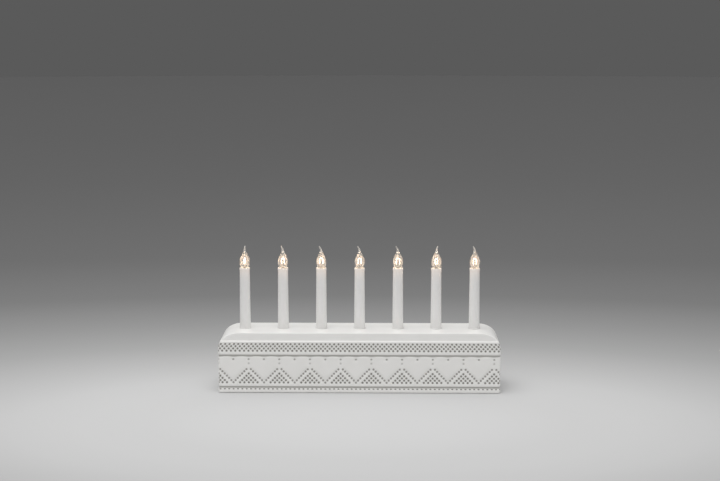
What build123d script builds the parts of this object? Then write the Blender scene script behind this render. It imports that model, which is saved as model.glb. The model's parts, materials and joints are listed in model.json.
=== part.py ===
from build123d import *
import math
import os

# Seven-light candle bridge: a hollow ceramic body with a row of electric candles on its roof.
# Millimetres. X runs along the row, -Y is the front, +Z is up. The origin is at the middle of the
# footprint, on the surface that the feet stand on.

# Ceramic body
body_length = 402.0
body_depth = 80.0
body_wall = 6.0
rim_gap = 0.5  # the rim stands this far above the surface
shoulder_height = 75.4
shoulder_radius = 1.6
corner_radius = 3.5
roof_rise = 11.1
roof_inset = 1.6  # foot of the front riser, in from the front face
roof_lean = 0.8
end_drop = 23.0  # the end walls start to curve over into the roof this far below its top
end_joint_share = 0.694144  # of a quarter turn, where the curve's lower arc passes into its upper one
ridge_radius = 0.6
upper_groove_height = 54.5
lower_groove_height = 8.5
groove_width = 2.6
groove_depth = 1.2

# Row of candles
candle_count = 7
end_margin = 36.0  # from the body's end to the first candle's axis

# Candle foot: flange, spigot for the sleeve and threaded stud through the roof
foot_radius = 8.7
foot_thickness = 1.5
foot_edge_radius = 0.6
spigot_height = 8.0
stud_radius = 4.4
stud_length = 14.5
stud_bore_radius = 2.9
stud_hole_clearance = 0.5

# Washer and nut under the roof
washer_radius = 8.5
washer_thickness = 1.2
washer_overhang = 0.1237  # the outer washers reach this far past the flat of the roof
nut_flats = 14.0
nut_thickness = 5.0
thread_clearance = 0.1

# Sleeve
sleeve_length = 86.5
sleeve_foot_radius = 7.8
sleeve_top_radius = 7.1
sleeve_bore_radius = 6.2
sleeve_rim_radius = 7.4
sleeve_rim_height = 2.6
sleeve_edge_radius = 0.4
sleeve_ledge_radius = 5.2
sleeve_ledge_thickness = 1.5
push_clearance = 0.1  # spigot and socket in the sleeve's bore

# Lamp socket for a small screw cap
socket_depth = 22.0  # from the sleeve's rim down to the socket's underside
socket_height = 17.5
socket_floor = 2.5
socket_wall = 0.8
shell_wall = 0.35
shell_height = 13.0
shell_lip_radius = 3.1
shell_lip_thickness = 0.4
tag_offset = 3.8  # wire ends, from the candle's axis
tag_radius = 0.6
tag_hole_radius = 0.75
tag_drop = 0.5
contact_radius = 2.2
contact_thickness = 0.8
contact_shank_radius = 0.7
contact_height = 2.0
tag_width = 1.2

# Bulb
cap_radius = 4.77
cap_wall = 0.3
cap_length = 11.5
cap_lip_radius = 3.4
cap_depth = 3.0  # top of the cap, below the sleeve's rim
thread_running_clearance = 0.08
turning_gap = 0.05  # between the turning cap and the contact below it
contact_gap = 0.1  # between the bulb's contact and the socket's contact
insulator_height = 1.6
insulator_top_radius = 4.3
insulator_foot_radius = 2.6
tip_radius = 2.0
tip_flat_radius = 1.1
glass_neck_radius = 4.3
glass_neck_depth = 11.0  # below the sleeve's rim
glass_wall = 0.6
glass_heights = (0.2, 4.0, 8.9, 13.0, 16.2, 19.5)  # above the sleeve's rim
glass_radii = (5.6, 6.65, 7.25, 6.75, 5.5, 3.9)
tail_height = 22.9
tail_root_radius = 2.0
tail_length = 8.9
tail_lean = 3.1
tail_height_shares = (0.4, 0.8, 1.0)
tail_radii = (1.3, 1.0, 0.65)
tail_turns = (78.0, 152.0, 174.0, 206.0, 181.0, 52.0, 146.0)  # way that each tail leans, in degrees
stem_height = 1.2
stem_radius = 2.1
filament_radius = 0.25
filament_hole_clearance = 0.05
lead_half_gap = 1.0
lead_end_depth = 12.4
lead_top_height = 1.9
loop_half_width = 2.4
loop_foot_height = 5.5
loop_top_height = 13.0
loop_bend_radius = 1.4
lead_bend_radius = 2.0

# Base cover, its anchors and screws, and the feet
rebate_lip = 3.0
rebate_clearance = 0.5
cover_recess = 0.5
cover_thickness = 2.5
felt_radius = 6.0
felt_end_margin = 20.0
felt_side_margin = 12.0
anchor_length = 14.0
anchor_width = 10.0
anchor_height = 12.0
anchor_end_margin = 50.0
screw_radius = 1.5
screw_head_radius = 2.9
screw_length = 11.0
screw_clearance = 0.2
pilot_clearance = 0.1
slot_width = 0.7
slot_depth = 0.6

# Cord inlet
grommet_height = 13.0
grommet_bore_radius = 3.1
grommet_neck_radius = 4.4
grommet_flange_radius = 6.4
grommet_flange_thickness = 1.5
grommet_clearance = 0.1

# Terminal block on the cover
block_x = -30.0
block_y = 14.0
block_width = 20.0
block_depth = 16.0
block_height = 12.0
insert_offset = 4.8
insert_height = 5.0
insert_radius = 2.4
insert_bore_radius = 0.9
insert_length = 14.0
insert_clearance = 0.1
clamp_radius = 1.0
clamp_head_radius = 1.9
clamp_head_thickness = 1.4
clamp_offset = 3.5
clamp_clearance = 0.1
clamp_head_recess = 0.6

# Wires
wire_radius = 0.8
wire_clearance = 0.3
stud_wire_offset = 1.5  # wires in the stud, from the candle's axis
wire_crossover = 4.0  # where a wire turns into the stud, above the spigot
wire_bend_share = 0.45  # of the way from the stud up to the tag, where the wires spread
link_margin = 2.5
bend_share = 0.45
lead_entry = 5.0  # bare end inside the terminal
lead_out = 14.0
lead_along_shares = (0.16, 0.36, 0.57, 0.8)  # of the way from the block to the end candle
lead_side_shares = (0.62, 0.5, 0.66, 0.42)  # of the half depth inside, towards the front wall
lead_lifts = (1.2, 0.0, 0.4, 0.1)  # above the wire's lowest course over the cover
lead_rise_share = 0.62  # of the height up to the stud, where a lead turns upright
lead_rise_slack = 2.2

# Heights and places that follow from these
roof_top = shoulder_height + roof_rise
roof_underside = roof_top - body_wall
end_spring_height = roof_top - end_drop
end_run = end_margin - washer_radius + washer_overhang  # from the body's end to the flat of the roof
cover_bottom = rim_gap + cover_recess
cover_top = cover_bottom + cover_thickness
foot_top = roof_top + foot_thickness
spigot_top = foot_top + spigot_height
spigot_radius = sleeve_bore_radius - push_clearance
stud_end = roof_top - stud_length
rim = foot_top + sleeve_length
socket_bottom = rim - socket_depth
socket_seat = socket_bottom + socket_floor
cap_top = rim - cap_depth
cap_bottom = cap_top - cap_length
insulator_top = cap_bottom - turning_gap
insulator_bottom = insulator_top - insulator_height
shell_bore_radius = cap_radius + thread_running_clearance
shell_radius = shell_bore_radius + shell_wall
tag_end = socket_bottom - tag_drop
contact_top = socket_seat + contact_height
inner_depth = body_depth - 2 * body_wall
candle_pitch = (body_length - 2 * end_margin) / (candle_count - 1)
candle_places = [k * candle_pitch - body_length / 2 + end_margin for k in range(candle_count)]

os.makedirs("parts", exist_ok=True)


def save(built, name):
    """Labels a finished piece and writes its file."""
    built.part.label = name
    export_step(built.part, f"parts/{name}.step")


def upright(x, turn=0.0):
    """A standing plane through a candle's axis, turned about it, with its own X outwards and Y up."""
    way = math.radians(turn)
    return Plane(
        origin=(x, 0, 0),
        x_dir=(math.cos(way), math.sin(way), 0),
        z_dir=(math.sin(way), -math.cos(way), 0),
    )


def candle_axis(x):
    """The upright axis of the candle at x."""
    return Axis((x, 0, 0), (0, 0, 1))


def above(points):
    """Turns heights above the sleeve's rim into heights above the surface."""
    return [(r, rim + h) for r, h in points]


# Ceramic body


def end_arcs():
    """Radii of the two arcs that carry an end wall over into the roof, and the angle at which they meet."""
    joint = math.pi / 2 * end_joint_share
    across, up = math.cos(joint), math.sin(joint)
    lower_radius = (end_drop * across - end_run * (1 - up)) / (across + up - 1)
    upper_radius = (end_run * up - end_drop * (1 - across)) / (across + up - 1)
    return lower_radius, upper_radius, joint


def end_outline(inset):
    """Outline of the body seen from the front: upright end walls that curve over into the roof in two arcs."""
    lower_radius, upper_radius, turn = end_arcs()
    half = body_length / 2 - inset
    ridge = roof_top - inset
    lower_x = body_length / 2 - lower_radius
    upper_x = body_length / 2 - end_run
    upper_height = roof_top - upper_radius

    def on_arc(x, z, radius, way):
        return x + (radius - inset) * math.cos(way), z + (radius - inset) * math.sin(way)

    lower_mid = on_arc(lower_x, end_spring_height, lower_radius, turn / 2)
    joint = on_arc(lower_x, end_spring_height, lower_radius, turn)
    upper_mid = on_arc(upper_x, upper_height, upper_radius, (turn + math.pi / 2) / 2)
    points = [(half, 0), (half, end_spring_height), lower_mid, joint, upper_mid, (upper_x, ridge)]
    return points, [(-x, z) for x, z in points]


def end_prism(inset):
    """The outline from the front, drawn out over the body's depth."""
    right, left = end_outline(inset)
    with BuildPart() as prism:
        with BuildSketch(Plane.XZ):
            with BuildLine():
                for side in (right, left):
                    Line(side[0], side[1])
                    ThreePointArc(side[1], side[2], side[3])
                    ThreePointArc(side[3], side[4], side[5])
                Line(right[5], left[5])
                Line(right[0], left[0])
            make_face()
        extrude(amount=body_depth, both=True)
    return prism.part


def body_form(inset, foot, with_edges):
    """The body's outer form, or with an inset the hollow inside it, from the height foot upwards."""
    top = shoulder_height - inset
    ridge = roof_top - inset
    low = top - shoulder_radius
    riser = body_depth / 2 - roof_inset - inset
    with BuildPart() as roof:
        with BuildSketch(Plane.YZ):
            with BuildLine():
                Polyline(
                    (-riser, low),
                    (riser, low),
                    (riser, top),
                    (riser - roof_lean, ridge),
                    (roof_lean - riser, ridge),
                    (-riser, top),
                    close=True,
                )
            make_face()
        extrude(amount=body_length / 2, both=True)
        add(end_prism(inset), mode=Mode.INTERSECT)
        if with_edges:
            ridges = roof.edges().filter_by(
                lambda e: e.center().Z > shoulder_height and abs(e.center().Y) > riser - 2 * roof_lean
            )
            fillet(ridges, ridge_radius)
    with BuildPart() as form:
        with BuildSketch(Plane.XY.offset(foot)):
            rounding = corner_radius if with_edges else corner_radius / 2
            RectangleRounded(body_length - 2 * inset, body_depth - 2 * inset, rounding)
        extrude(amount=top - foot)
        if with_edges:
            fillet(form.faces().sort_by(Axis.Z)[-1].edges(), shoulder_radius)
        add(end_prism(inset), mode=Mode.INTERSECT)
        add(roof.part)
    return form.part


cover_fit = rebate_lip + rebate_clearance
recess_depth = grommet_flange_thickness + grommet_clearance

with BuildPart() as ceramic_body:
    add(body_form(0, rim_gap, True))
    add(body_form(body_wall, rim_gap, False), mode=Mode.SUBTRACT)
    with BuildSketch(Plane.XY.offset(rim_gap)):
        RectangleRounded(body_length - 2 * rebate_lip, body_depth - 2 * rebate_lip, corner_radius / 2)
    extrude(amount=cover_top - rim_gap, mode=Mode.SUBTRACT)
    for groove_height in (upper_groove_height, lower_groove_height):
        with BuildSketch(Plane.XY.offset(groove_height - groove_width / 2)):
            RectangleRounded(body_length + groove_width, body_depth + groove_width, corner_radius)
            RectangleRounded(
                body_length - 2 * groove_depth,
                body_depth - 2 * groove_depth,
                corner_radius - groove_depth,
                mode=Mode.SUBTRACT,
            )
        extrude(amount=groove_width, mode=Mode.SUBTRACT)
    with BuildSketch(Plane.XY.offset(roof_underside - shoulder_radius)):
        with Locations(*[(x, 0) for x in candle_places]):
            Circle(stud_radius + stud_hole_clearance)
    extrude(amount=body_wall + 2 * shoulder_radius, mode=Mode.SUBTRACT)
    with BuildSketch(Plane.XZ.offset(-inner_depth / 2 + body_wall / 2)):
        with Locations((0, grommet_height)):
            Circle(grommet_neck_radius + grommet_clearance)
    extrude(amount=-2 * body_wall, mode=Mode.SUBTRACT)
    with BuildSketch(Plane.XZ.offset(recess_depth - body_depth / 2)):
        with Locations((0, grommet_height)):
            Circle(grommet_flange_radius + grommet_clearance)
    extrude(amount=-body_wall, mode=Mode.SUBTRACT)
save(ceramic_body, "ceramic_body")

# Candle feet, sleeves, and what clamps them to the roof

for number, x in enumerate(candle_places, start=1):
    with BuildPart() as candle_foot:
        with BuildSketch(Plane.XY.offset(roof_top)):
            with Locations((x, 0)):
                Circle(foot_radius)
        extrude(amount=foot_thickness)
        fillet(candle_foot.faces().sort_by(Axis.Z)[-1].edges(), foot_edge_radius)
        with BuildSketch(Plane.XY.offset(foot_top)):
            with Locations((x, 0)):
                Circle(spigot_radius)
        extrude(amount=spigot_height)
        chamfer(candle_foot.faces().sort_by(Axis.Z)[-1].edges(), foot_edge_radius)
        with BuildSketch(Plane.XY.offset(stud_end)):
            with Locations((x, 0)):
                Circle(stud_radius)
        extrude(amount=stud_length)
        with BuildSketch(Plane.XY.offset(stud_end)):
            with Locations((x, 0)):
                Circle(stud_bore_radius)
        extrude(amount=spigot_top - stud_end, mode=Mode.SUBTRACT)
    save(candle_foot, f"candle_foot_{number}")

    with BuildPart() as candle_sleeve:
        with BuildSketch(upright(x)):
            with BuildLine():
                Polyline(
                    (sleeve_bore_radius, foot_top),
                    (sleeve_foot_radius, foot_top),
                    (sleeve_top_radius, rim - 2 * sleeve_rim_height),
                    (sleeve_rim_radius, rim - sleeve_rim_height),
                    (sleeve_rim_radius, rim),
                    (sleeve_bore_radius, rim),
                    (sleeve_bore_radius, socket_bottom),
                    (sleeve_ledge_radius, socket_bottom),
                    (sleeve_ledge_radius, socket_bottom - sleeve_ledge_thickness),
                    (sleeve_bore_radius, socket_bottom - 2 * sleeve_ledge_thickness),
                    close=True,
                )
            make_face()
        revolve(axis=candle_axis(x))
        mouth = candle_sleeve.faces().filter_by(Axis.Z).sort_by(Axis.Z)[-1]
        fillet(mouth.edges(), sleeve_edge_radius)
    save(candle_sleeve, f"candle_sleeve_{number}")

with BuildPart() as holder_washers:
    with BuildSketch(Plane.XY.offset(roof_underside - washer_thickness)):
        with Locations(*[(x, 0) for x in candle_places]):
            Circle(washer_radius)
            Circle(stud_radius + thread_clearance, mode=Mode.SUBTRACT)
    extrude(amount=washer_thickness)
save(holder_washers, "holder_washers")

with BuildPart() as holder_nuts:
    with BuildSketch(Plane.XY.offset(roof_underside - washer_thickness - nut_thickness)):
        with Locations(*[(x, 0) for x in candle_places]):
            RegularPolygon(nut_flats / 2, 6, major_radius=False)
            Circle(stud_radius + thread_clearance, mode=Mode.SUBTRACT)
    extrude(amount=nut_thickness)
save(holder_nuts, "holder_nuts")

# Lamp sockets

with BuildPart() as socket_bodies:
    with BuildSketch(Plane.XY.offset(socket_bottom)):
        with Locations(*[(x, 0) for x in candle_places]):
            Circle(sleeve_bore_radius - push_clearance)
    extrude(amount=socket_height)
    with BuildSketch(Plane.XY.offset(socket_seat)):
        with Locations(*[(x, 0) for x in candle_places]):
            Circle(sleeve_bore_radius - push_clearance - socket_wall)
    extrude(amount=socket_height, mode=Mode.SUBTRACT)
    with BuildSketch(Plane.XY.offset(socket_bottom)):
        with Locations(*[(x, 0) for x in candle_places]):
            Circle(contact_shank_radius + thread_clearance)
        with Locations(*[(x + tag_offset, 0) for x in candle_places]):
            Circle(tag_hole_radius)
    extrude(amount=socket_floor, mode=Mode.SUBTRACT)
save(socket_bodies, "socket_bodies")

with BuildPart() as socket_shells:
    with BuildSketch(Plane.XY.offset(socket_seat)):
        with Locations(*[(x, 0) for x in candle_places]):
            Circle(shell_radius)
            Circle(shell_bore_radius, mode=Mode.SUBTRACT)
    extrude(amount=shell_height)
    with BuildSketch(Plane.XY.offset(socket_seat)):
        with Locations(*[(x, 0) for x in candle_places]):
            Circle(shell_radius)
            Circle(shell_lip_radius, mode=Mode.SUBTRACT)
    extrude(amount=shell_lip_thickness)
    with BuildSketch(Plane.XY.offset(tag_end)):
        with Locations(*[(x + tag_offset, 0) for x in candle_places]):
            Circle(tag_radius)
    extrude(amount=socket_seat - tag_end)
save(socket_shells, "socket_shells")

with BuildPart() as socket_contacts:
    with BuildSketch(Plane.XY.offset(contact_top - contact_thickness)):
        with Locations(*[(x, 0) for x in candle_places]):
            Circle(contact_radius)
    extrude(amount=contact_thickness)
    with BuildSketch(Plane.XY.offset(tag_end)):
        with Locations(*[(x, 0) for x in candle_places]):
            Circle(contact_shank_radius)
    extrude(amount=contact_top - contact_thickness - tag_end)
    with BuildSketch(Plane.XY.offset(tag_end)):
        with Locations(*[(x - tag_offset / 2, 0) for x in candle_places]):
            SlotCenterToCenter(tag_offset, tag_width)
    extrude(amount=tag_drop)
save(socket_contacts, "socket_contacts")

# Bulbs

tail_base = (tail_root_radius, tail_height)
glass_points = [(r, h) for h, r in zip(glass_heights, glass_radii)] + [tail_base]
glass_inner_points = [(r - glass_wall, h) for r, h in glass_points[:-1]]

for number, (x, turn) in enumerate(zip(candle_places, tail_turns), start=1):
    with BuildPart() as bulb_contact:
        with BuildSketch(upright(x)):
            with BuildLine():
                Polyline(
                    (0, insulator_top),
                    (insulator_top_radius, insulator_top),
                    (insulator_foot_radius, insulator_bottom),
                    (tip_radius, insulator_bottom),
                    (tip_flat_radius, contact_top + contact_gap),
                    (0, contact_top + contact_gap),
                    close=True,
                )
            make_face()
        revolve(axis=candle_axis(x))
    save(bulb_contact, f"bulb_contact_{number}")

    with BuildPart() as bulb_cap:
        with BuildSketch(Plane.XY.offset(cap_bottom)):
            with Locations((x, 0)):
                Circle(cap_radius)
        extrude(amount=cap_length)
        with BuildSketch(Plane.XY.offset(cap_bottom + cap_wall)):
            with Locations((x, 0)):
                Circle(cap_radius - cap_wall)
        extrude(amount=cap_length, mode=Mode.SUBTRACT)
        with BuildSketch(Plane.XY.offset(cap_bottom)):
            with Locations((x, 0)):
                Circle(cap_lip_radius)
        extrude(amount=cap_wall, mode=Mode.SUBTRACT)
    save(bulb_cap, f"bulb_cap_{number}")

    with BuildPart() as bulb_glass:
        with BuildSketch(upright(x, turn)):
            with BuildLine():
                Polyline(
                    *above(
                        [
                            (tail_root_radius, tail_height),
                            (0, tail_height),
                            (0, -glass_neck_depth),
                            (glass_neck_radius, -glass_neck_depth),
                            (glass_neck_radius, -cap_depth),
                        ]
                    )
                )
                Spline(*above([(glass_neck_radius, -cap_depth)] + glass_points))
            make_face()
        revolve(axis=candle_axis(x))
        with BuildSketch(upright(x, turn)):
            with BuildLine():
                Polyline(
                    *above(
                        [
                            (glass_inner_points[-1][0], glass_inner_points[-1][1]),
                            (0, glass_heights[-1] + glass_wall),
                            (0, stem_height),
                            (stem_radius, stem_height),
                            (stem_radius + glass_wall, glass_wall - glass_neck_depth),
                            (glass_neck_radius - glass_wall, glass_wall - glass_neck_depth),
                            (glass_neck_radius - glass_wall, -cap_depth),
                        ]
                    )
                )
                Spline(*above([(glass_neck_radius - glass_wall, -cap_depth)] + glass_inner_points))
            make_face()
        revolve(axis=candle_axis(x), mode=Mode.SUBTRACT)
        way = upright(x, turn).x_dir
        with BuildSketch(Plane.XY.offset(rim + tail_height)):
            with Locations((x, 0)):
                Circle(tail_root_radius)
        for share, radius in zip(tail_height_shares, tail_radii):
            reach = tail_lean * share**2
            place = Vector(x, 0, rim + tail_height + tail_length * share) + way * reach
            course = Vector(0, 0, tail_length) + way * (2 * tail_lean * share)
            with BuildSketch(Plane(origin=place, z_dir=course)):
                Circle(radius)
        loft()
        with BuildSketch(Plane.XY.offset(rim - glass_neck_depth)):
            with Locations(Vector(x, 0, 0) + way * lead_half_gap, Vector(x, 0, 0) - way * lead_half_gap):
                Circle(filament_radius + filament_hole_clearance)
        extrude(amount=glass_neck_depth + stem_height, mode=Mode.SUBTRACT)
    save(bulb_glass, f"bulb_glass_{number}")

    with BuildPart() as filament:
        with BuildLine(upright(x, turn)) as filament_line:
            half = [
                (lead_half_gap, -lead_end_depth),
                (lead_half_gap, lead_top_height),
                (loop_half_width, loop_foot_height),
                (loop_half_width, loop_top_height),
            ]
            mirrored = [(-r, h) for r, h in reversed(half)]
            bends = (lead_bend_radius, lead_bend_radius, loop_bend_radius)
            FilletPolyline(*above(half + mirrored), radius=bends + bends[::-1])
        with BuildSketch(Plane(origin=filament_line.line @ 0, z_dir=filament_line.line % 0)):
            Circle(filament_radius)
        sweep()
    save(filament, f"filament_{number}")

# Base cover with its anchors, screws and feet

anchor_places = [
    (side * (body_length / 2 - anchor_end_margin), face * (inner_depth / 2 - anchor_width / 2))
    for side in (-1, 1)
    for face in (-1, 1)
]
felt_places = [
    (side * (body_length / 2 - felt_end_margin), face * (body_depth / 2 - felt_side_margin))
    for side in (-1, 1)
    for face in (-1, 1)
]
head_depth = screw_head_radius - screw_radius

with BuildPart() as base_cover:
    with BuildSketch(Plane.XY.offset(cover_bottom)):
        RectangleRounded(body_length - 2 * cover_fit, body_depth - 2 * cover_fit, corner_radius / 2)
        with Locations(*anchor_places):
            Circle(screw_radius + screw_clearance, mode=Mode.SUBTRACT)
    extrude(amount=cover_thickness)
    for place in anchor_places:
        with BuildSketch(Plane.XY.offset(cover_bottom)):
            with Locations(place):
                Circle(screw_head_radius + screw_clearance)
        with BuildSketch(Plane.XY.offset(cover_bottom + head_depth)):
            with Locations(place):
                Circle(screw_radius + screw_clearance)
        loft(mode=Mode.SUBTRACT)
save(base_cover, "base_cover")

with BuildPart() as cover_anchors:
    with BuildSketch(Plane.XY.offset(cover_top)):
        with Locations(*anchor_places):
            Rectangle(anchor_length, anchor_width)
            Circle(screw_radius + pilot_clearance, mode=Mode.SUBTRACT)
    extrude(amount=anchor_height)
save(cover_anchors, "cover_anchors")

with BuildPart() as cover_screws:
    with BuildSketch(Plane.XY.offset(cover_bottom)):
        with Locations(*anchor_places):
            Circle(screw_radius)
    extrude(amount=screw_length)
    for place in anchor_places:
        with BuildSketch(Plane.XY.offset(cover_bottom)):
            with Locations(place):
                Circle(screw_head_radius)
        with BuildSketch(Plane.XY.offset(cover_bottom + head_depth)):
            with Locations(place):
                Circle(screw_radius)
        loft()
    with BuildSketch(Plane.XY.offset(cover_bottom)):
        with Locations(*anchor_places):
            Rectangle(2 * screw_radius, slot_width)
            Rectangle(slot_width, 2 * screw_radius)
    extrude(amount=slot_depth, mode=Mode.SUBTRACT)
save(cover_screws, "cover_screws")

with BuildPart() as felt_feet:
    with BuildSketch(Plane.XY):
        with Locations(*felt_places):
            Circle(felt_radius)
    extrude(amount=cover_bottom)
save(felt_feet, "felt_feet")

# Cord inlet in the back wall

with BuildPart() as cord_grommet:
    with BuildSketch(Plane.XZ.offset(grommet_flange_thickness - inner_depth / 2)):
        with Locations((0, grommet_height)):
            Circle(grommet_flange_radius)
    extrude(amount=-grommet_flange_thickness)
    with BuildSketch(Plane.XZ.offset(-inner_depth / 2)):
        with Locations((0, grommet_height)):
            Circle(grommet_neck_radius)
    extrude(amount=recess_depth - body_wall)
    with BuildSketch(Plane.XZ.offset(recess_depth - body_depth / 2)):
        with Locations((0, grommet_height)):
            Circle(grommet_flange_radius)
    extrude(amount=-grommet_flange_thickness)
    with BuildSketch(Plane.XZ.offset(grommet_flange_thickness - inner_depth / 2)):
        with Locations((0, grommet_height)):
            Circle(grommet_bore_radius)
    extrude(amount=-body_depth / 2, mode=Mode.SUBTRACT)
save(cord_grommet, "cord_grommet")

# Terminal block, its inserts and clamp screws

insert_z = cover_top + insert_height
insert_places = [block_x + side * insert_offset for side in (-1, 1)]
clamp_places = [(x, block_y + side * clamp_offset) for x in insert_places for side in (-1, 1)]
clamp_bottom = insert_z + wire_radius + clamp_clearance
clamp_top = cover_top + block_height - clamp_head_recess

with BuildPart() as terminal_block:
    with BuildSketch(Plane.XY.offset(cover_top)):
        with Locations((block_x, block_y)):
            Rectangle(block_width, block_depth)
    extrude(amount=block_height)
    with BuildSketch(Plane.XZ.offset(block_depth / 2 - block_y)):
        with Locations(*[(x, insert_z) for x in insert_places]):
            Circle(insert_radius + insert_clearance)
    extrude(amount=-block_depth, mode=Mode.SUBTRACT)
    with BuildSketch(Plane.XY.offset(insert_z)):
        with Locations(*clamp_places):
            Circle(clamp_head_radius + clamp_clearance)
    extrude(amount=block_height, mode=Mode.SUBTRACT)
save(terminal_block, "terminal_block")

with BuildPart() as terminal_inserts:
    with BuildSketch(Plane.XZ.offset(insert_length / 2 - block_y)):
        with Locations(*[(x, insert_z) for x in insert_places]):
            Circle(insert_radius)
            Circle(insert_bore_radius, mode=Mode.SUBTRACT)
    extrude(amount=-insert_length)
    with BuildSketch(Plane.XY.offset(insert_z)):
        with Locations(*clamp_places):
            Circle(clamp_radius + clamp_clearance)
    extrude(amount=insert_radius, mode=Mode.SUBTRACT)
save(terminal_inserts, "terminal_inserts")

with BuildPart() as terminal_screws:
    with BuildSketch(Plane.XY.offset(clamp_bottom)):
        with Locations(*clamp_places):
            Circle(clamp_radius)
    extrude(amount=clamp_top - clamp_bottom)
    with BuildSketch(Plane.XY.offset(clamp_top - clamp_head_thickness)):
        with Locations(*clamp_places):
            Circle(clamp_head_radius)
    extrude(amount=clamp_head_thickness)
    with BuildSketch(Plane.XY.offset(clamp_top - slot_depth)):
        with Locations(*clamp_places):
            Rectangle(2 * clamp_head_radius, slot_width)
    extrude(amount=slot_depth, mode=Mode.SUBTRACT)
save(terminal_screws, "terminal_screws")

# Wires inside the body


def bend_radii(points):
    """As large a bend as the two runs beside each corner allow."""
    radii = []
    for before, corner, after in zip(points, points[1:], points[2:]):
        first = Vector(*corner) - Vector(*before)
        second = Vector(*after) - Vector(*corner)
        half_turn = math.radians(first.get_angle(second)) / 2
        radii.append(bend_share * min(first.length, second.length) / math.tan(half_turn))
    return radii


def swept_wire(points, name):
    """Makes one wire along its route, and prints its bends and its volume."""
    radii = bend_radii(points)
    with BuildPart() as wire:
        with BuildLine() as route:
            FilletPolyline(*points, radius=radii)
        with BuildSketch(Plane(origin=route.line @ 0, z_dir=route.line % 0)):
            Circle(wire_radius)
        sweep()
    expected = math.pi * wire_radius**2 * sum(e.length for e in route.edges())
    bends = [round(r, 1) for r in radii]
    print(name, "bends", bends, "volume", round(wire.part.volume, 1), "section by length", round(expected, 1))
    return wire.part


def riser_points(x, side):
    """Where a wire runs inside one candle, from the socket down to the stud, on one side of the axis."""
    turn_in = spigot_top + wire_crossover
    middle = turn_in + (tag_end - turn_in) * wire_bend_share
    return [
        (x + side * tag_offset, 0, tag_end),
        (x + side * tag_offset, 0, middle),
        (x + side * stud_wire_offset, 0, turn_in),
    ]


link_run = candle_pitch - 2 * stud_wire_offset
link_low = stud_end - bend_share * link_run - link_margin

links = []
for number, (x, next_x) in enumerate(zip(candle_places, candle_places[1:]), start=1):
    down = riser_points(x, 1)
    up = riser_points(next_x, -1)
    low = [(x + stud_wire_offset, 0, link_low), (next_x - stud_wire_offset, 0, link_low)]
    links.append(swept_wire(down + low + up[::-1], f"link wire {number}"))

with BuildPart() as link_wires:
    add(links)
save(link_wires, "link_wires")

lead_floor = cover_top + wire_radius + wire_clearance
block_front = block_y - block_depth / 2

for side, name in ((-1, "lead_left"), (1, "lead_right")):
    start_x = block_x + side * insert_offset
    end_x = side * (body_length / 2 - end_margin)
    wire_x = end_x + side * stud_wire_offset
    points = [
        (start_x, block_front + lead_entry, insert_z),
        (start_x, block_front - lead_out, insert_z),
    ]
    for share, across, lift in zip(lead_along_shares, lead_side_shares, lead_lifts):
        along = start_x + (wire_x - start_x) * share
        points.append((along, -across * inner_depth / 2, lead_floor + lift))
    points.append((wire_x + side * lead_rise_slack, -lead_rise_slack, lead_floor))
    points.append((wire_x, 0, lead_floor + (stud_end - lead_floor) * lead_rise_share))
    points.extend(riser_points(end_x, side)[::-1])
    with BuildPart() as lead:
        add(swept_wire(points, name))
    save(lead, name)
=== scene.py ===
# %% [markdown]
# # An electric candle bridge in white ceramic
#
# The object is a long slip-cast ceramic box with a rounded roof. A lace pattern with a row of hearts is
# pressed into its walls, and seven small electric candles stand on the roof. The measured solids are the
# frame of this scene, and every cell adds one piece or one finish to them.

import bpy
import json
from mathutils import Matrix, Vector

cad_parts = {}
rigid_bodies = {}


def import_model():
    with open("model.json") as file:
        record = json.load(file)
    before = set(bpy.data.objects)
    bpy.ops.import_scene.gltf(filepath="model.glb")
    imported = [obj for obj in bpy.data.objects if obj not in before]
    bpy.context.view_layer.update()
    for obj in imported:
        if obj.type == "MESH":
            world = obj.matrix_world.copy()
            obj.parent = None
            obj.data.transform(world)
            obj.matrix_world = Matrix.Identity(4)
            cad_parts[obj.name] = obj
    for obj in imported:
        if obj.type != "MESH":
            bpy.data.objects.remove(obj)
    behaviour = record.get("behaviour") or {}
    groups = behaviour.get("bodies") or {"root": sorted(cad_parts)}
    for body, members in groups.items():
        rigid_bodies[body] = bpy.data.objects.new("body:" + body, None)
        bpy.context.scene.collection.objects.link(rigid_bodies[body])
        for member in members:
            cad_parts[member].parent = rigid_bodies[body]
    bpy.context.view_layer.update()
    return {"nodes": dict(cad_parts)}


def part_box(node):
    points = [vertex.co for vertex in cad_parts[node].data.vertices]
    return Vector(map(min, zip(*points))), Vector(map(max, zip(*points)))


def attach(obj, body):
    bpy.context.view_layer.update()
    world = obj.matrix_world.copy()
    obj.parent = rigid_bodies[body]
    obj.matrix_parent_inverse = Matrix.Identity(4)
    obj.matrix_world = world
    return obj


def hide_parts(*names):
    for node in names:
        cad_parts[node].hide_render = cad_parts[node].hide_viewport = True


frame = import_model()
print("pieces in the frame:", len(frame["nodes"]))

# %% [markdown]
# ## Units, colours and two small tools
#
# Sizes are written in millimetres and turned to metres by one constant. Colours are written as they look on
# a screen and are turned to linear light by one function. Shader trees and geometry trees are both made of
# nodes, so one helper that adds a node, sets it and links it serves them all.

# %% Units, colours and the node helper
import json
import math

import bmesh
import bpy
from mathutils import Matrix, Vector

MM = 0.001


def linear(code):
    """An sRGB hex colour as linear light, fully opaque."""
    parts = [int(code[k : k + 2], 16) / 255 for k in (1, 3, 5)]
    light = [p / 12.92 if p <= 0.04045 else ((p + 0.055) / 1.055) ** 2.4 for p in parts]
    return (*light, 1.0)


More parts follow.
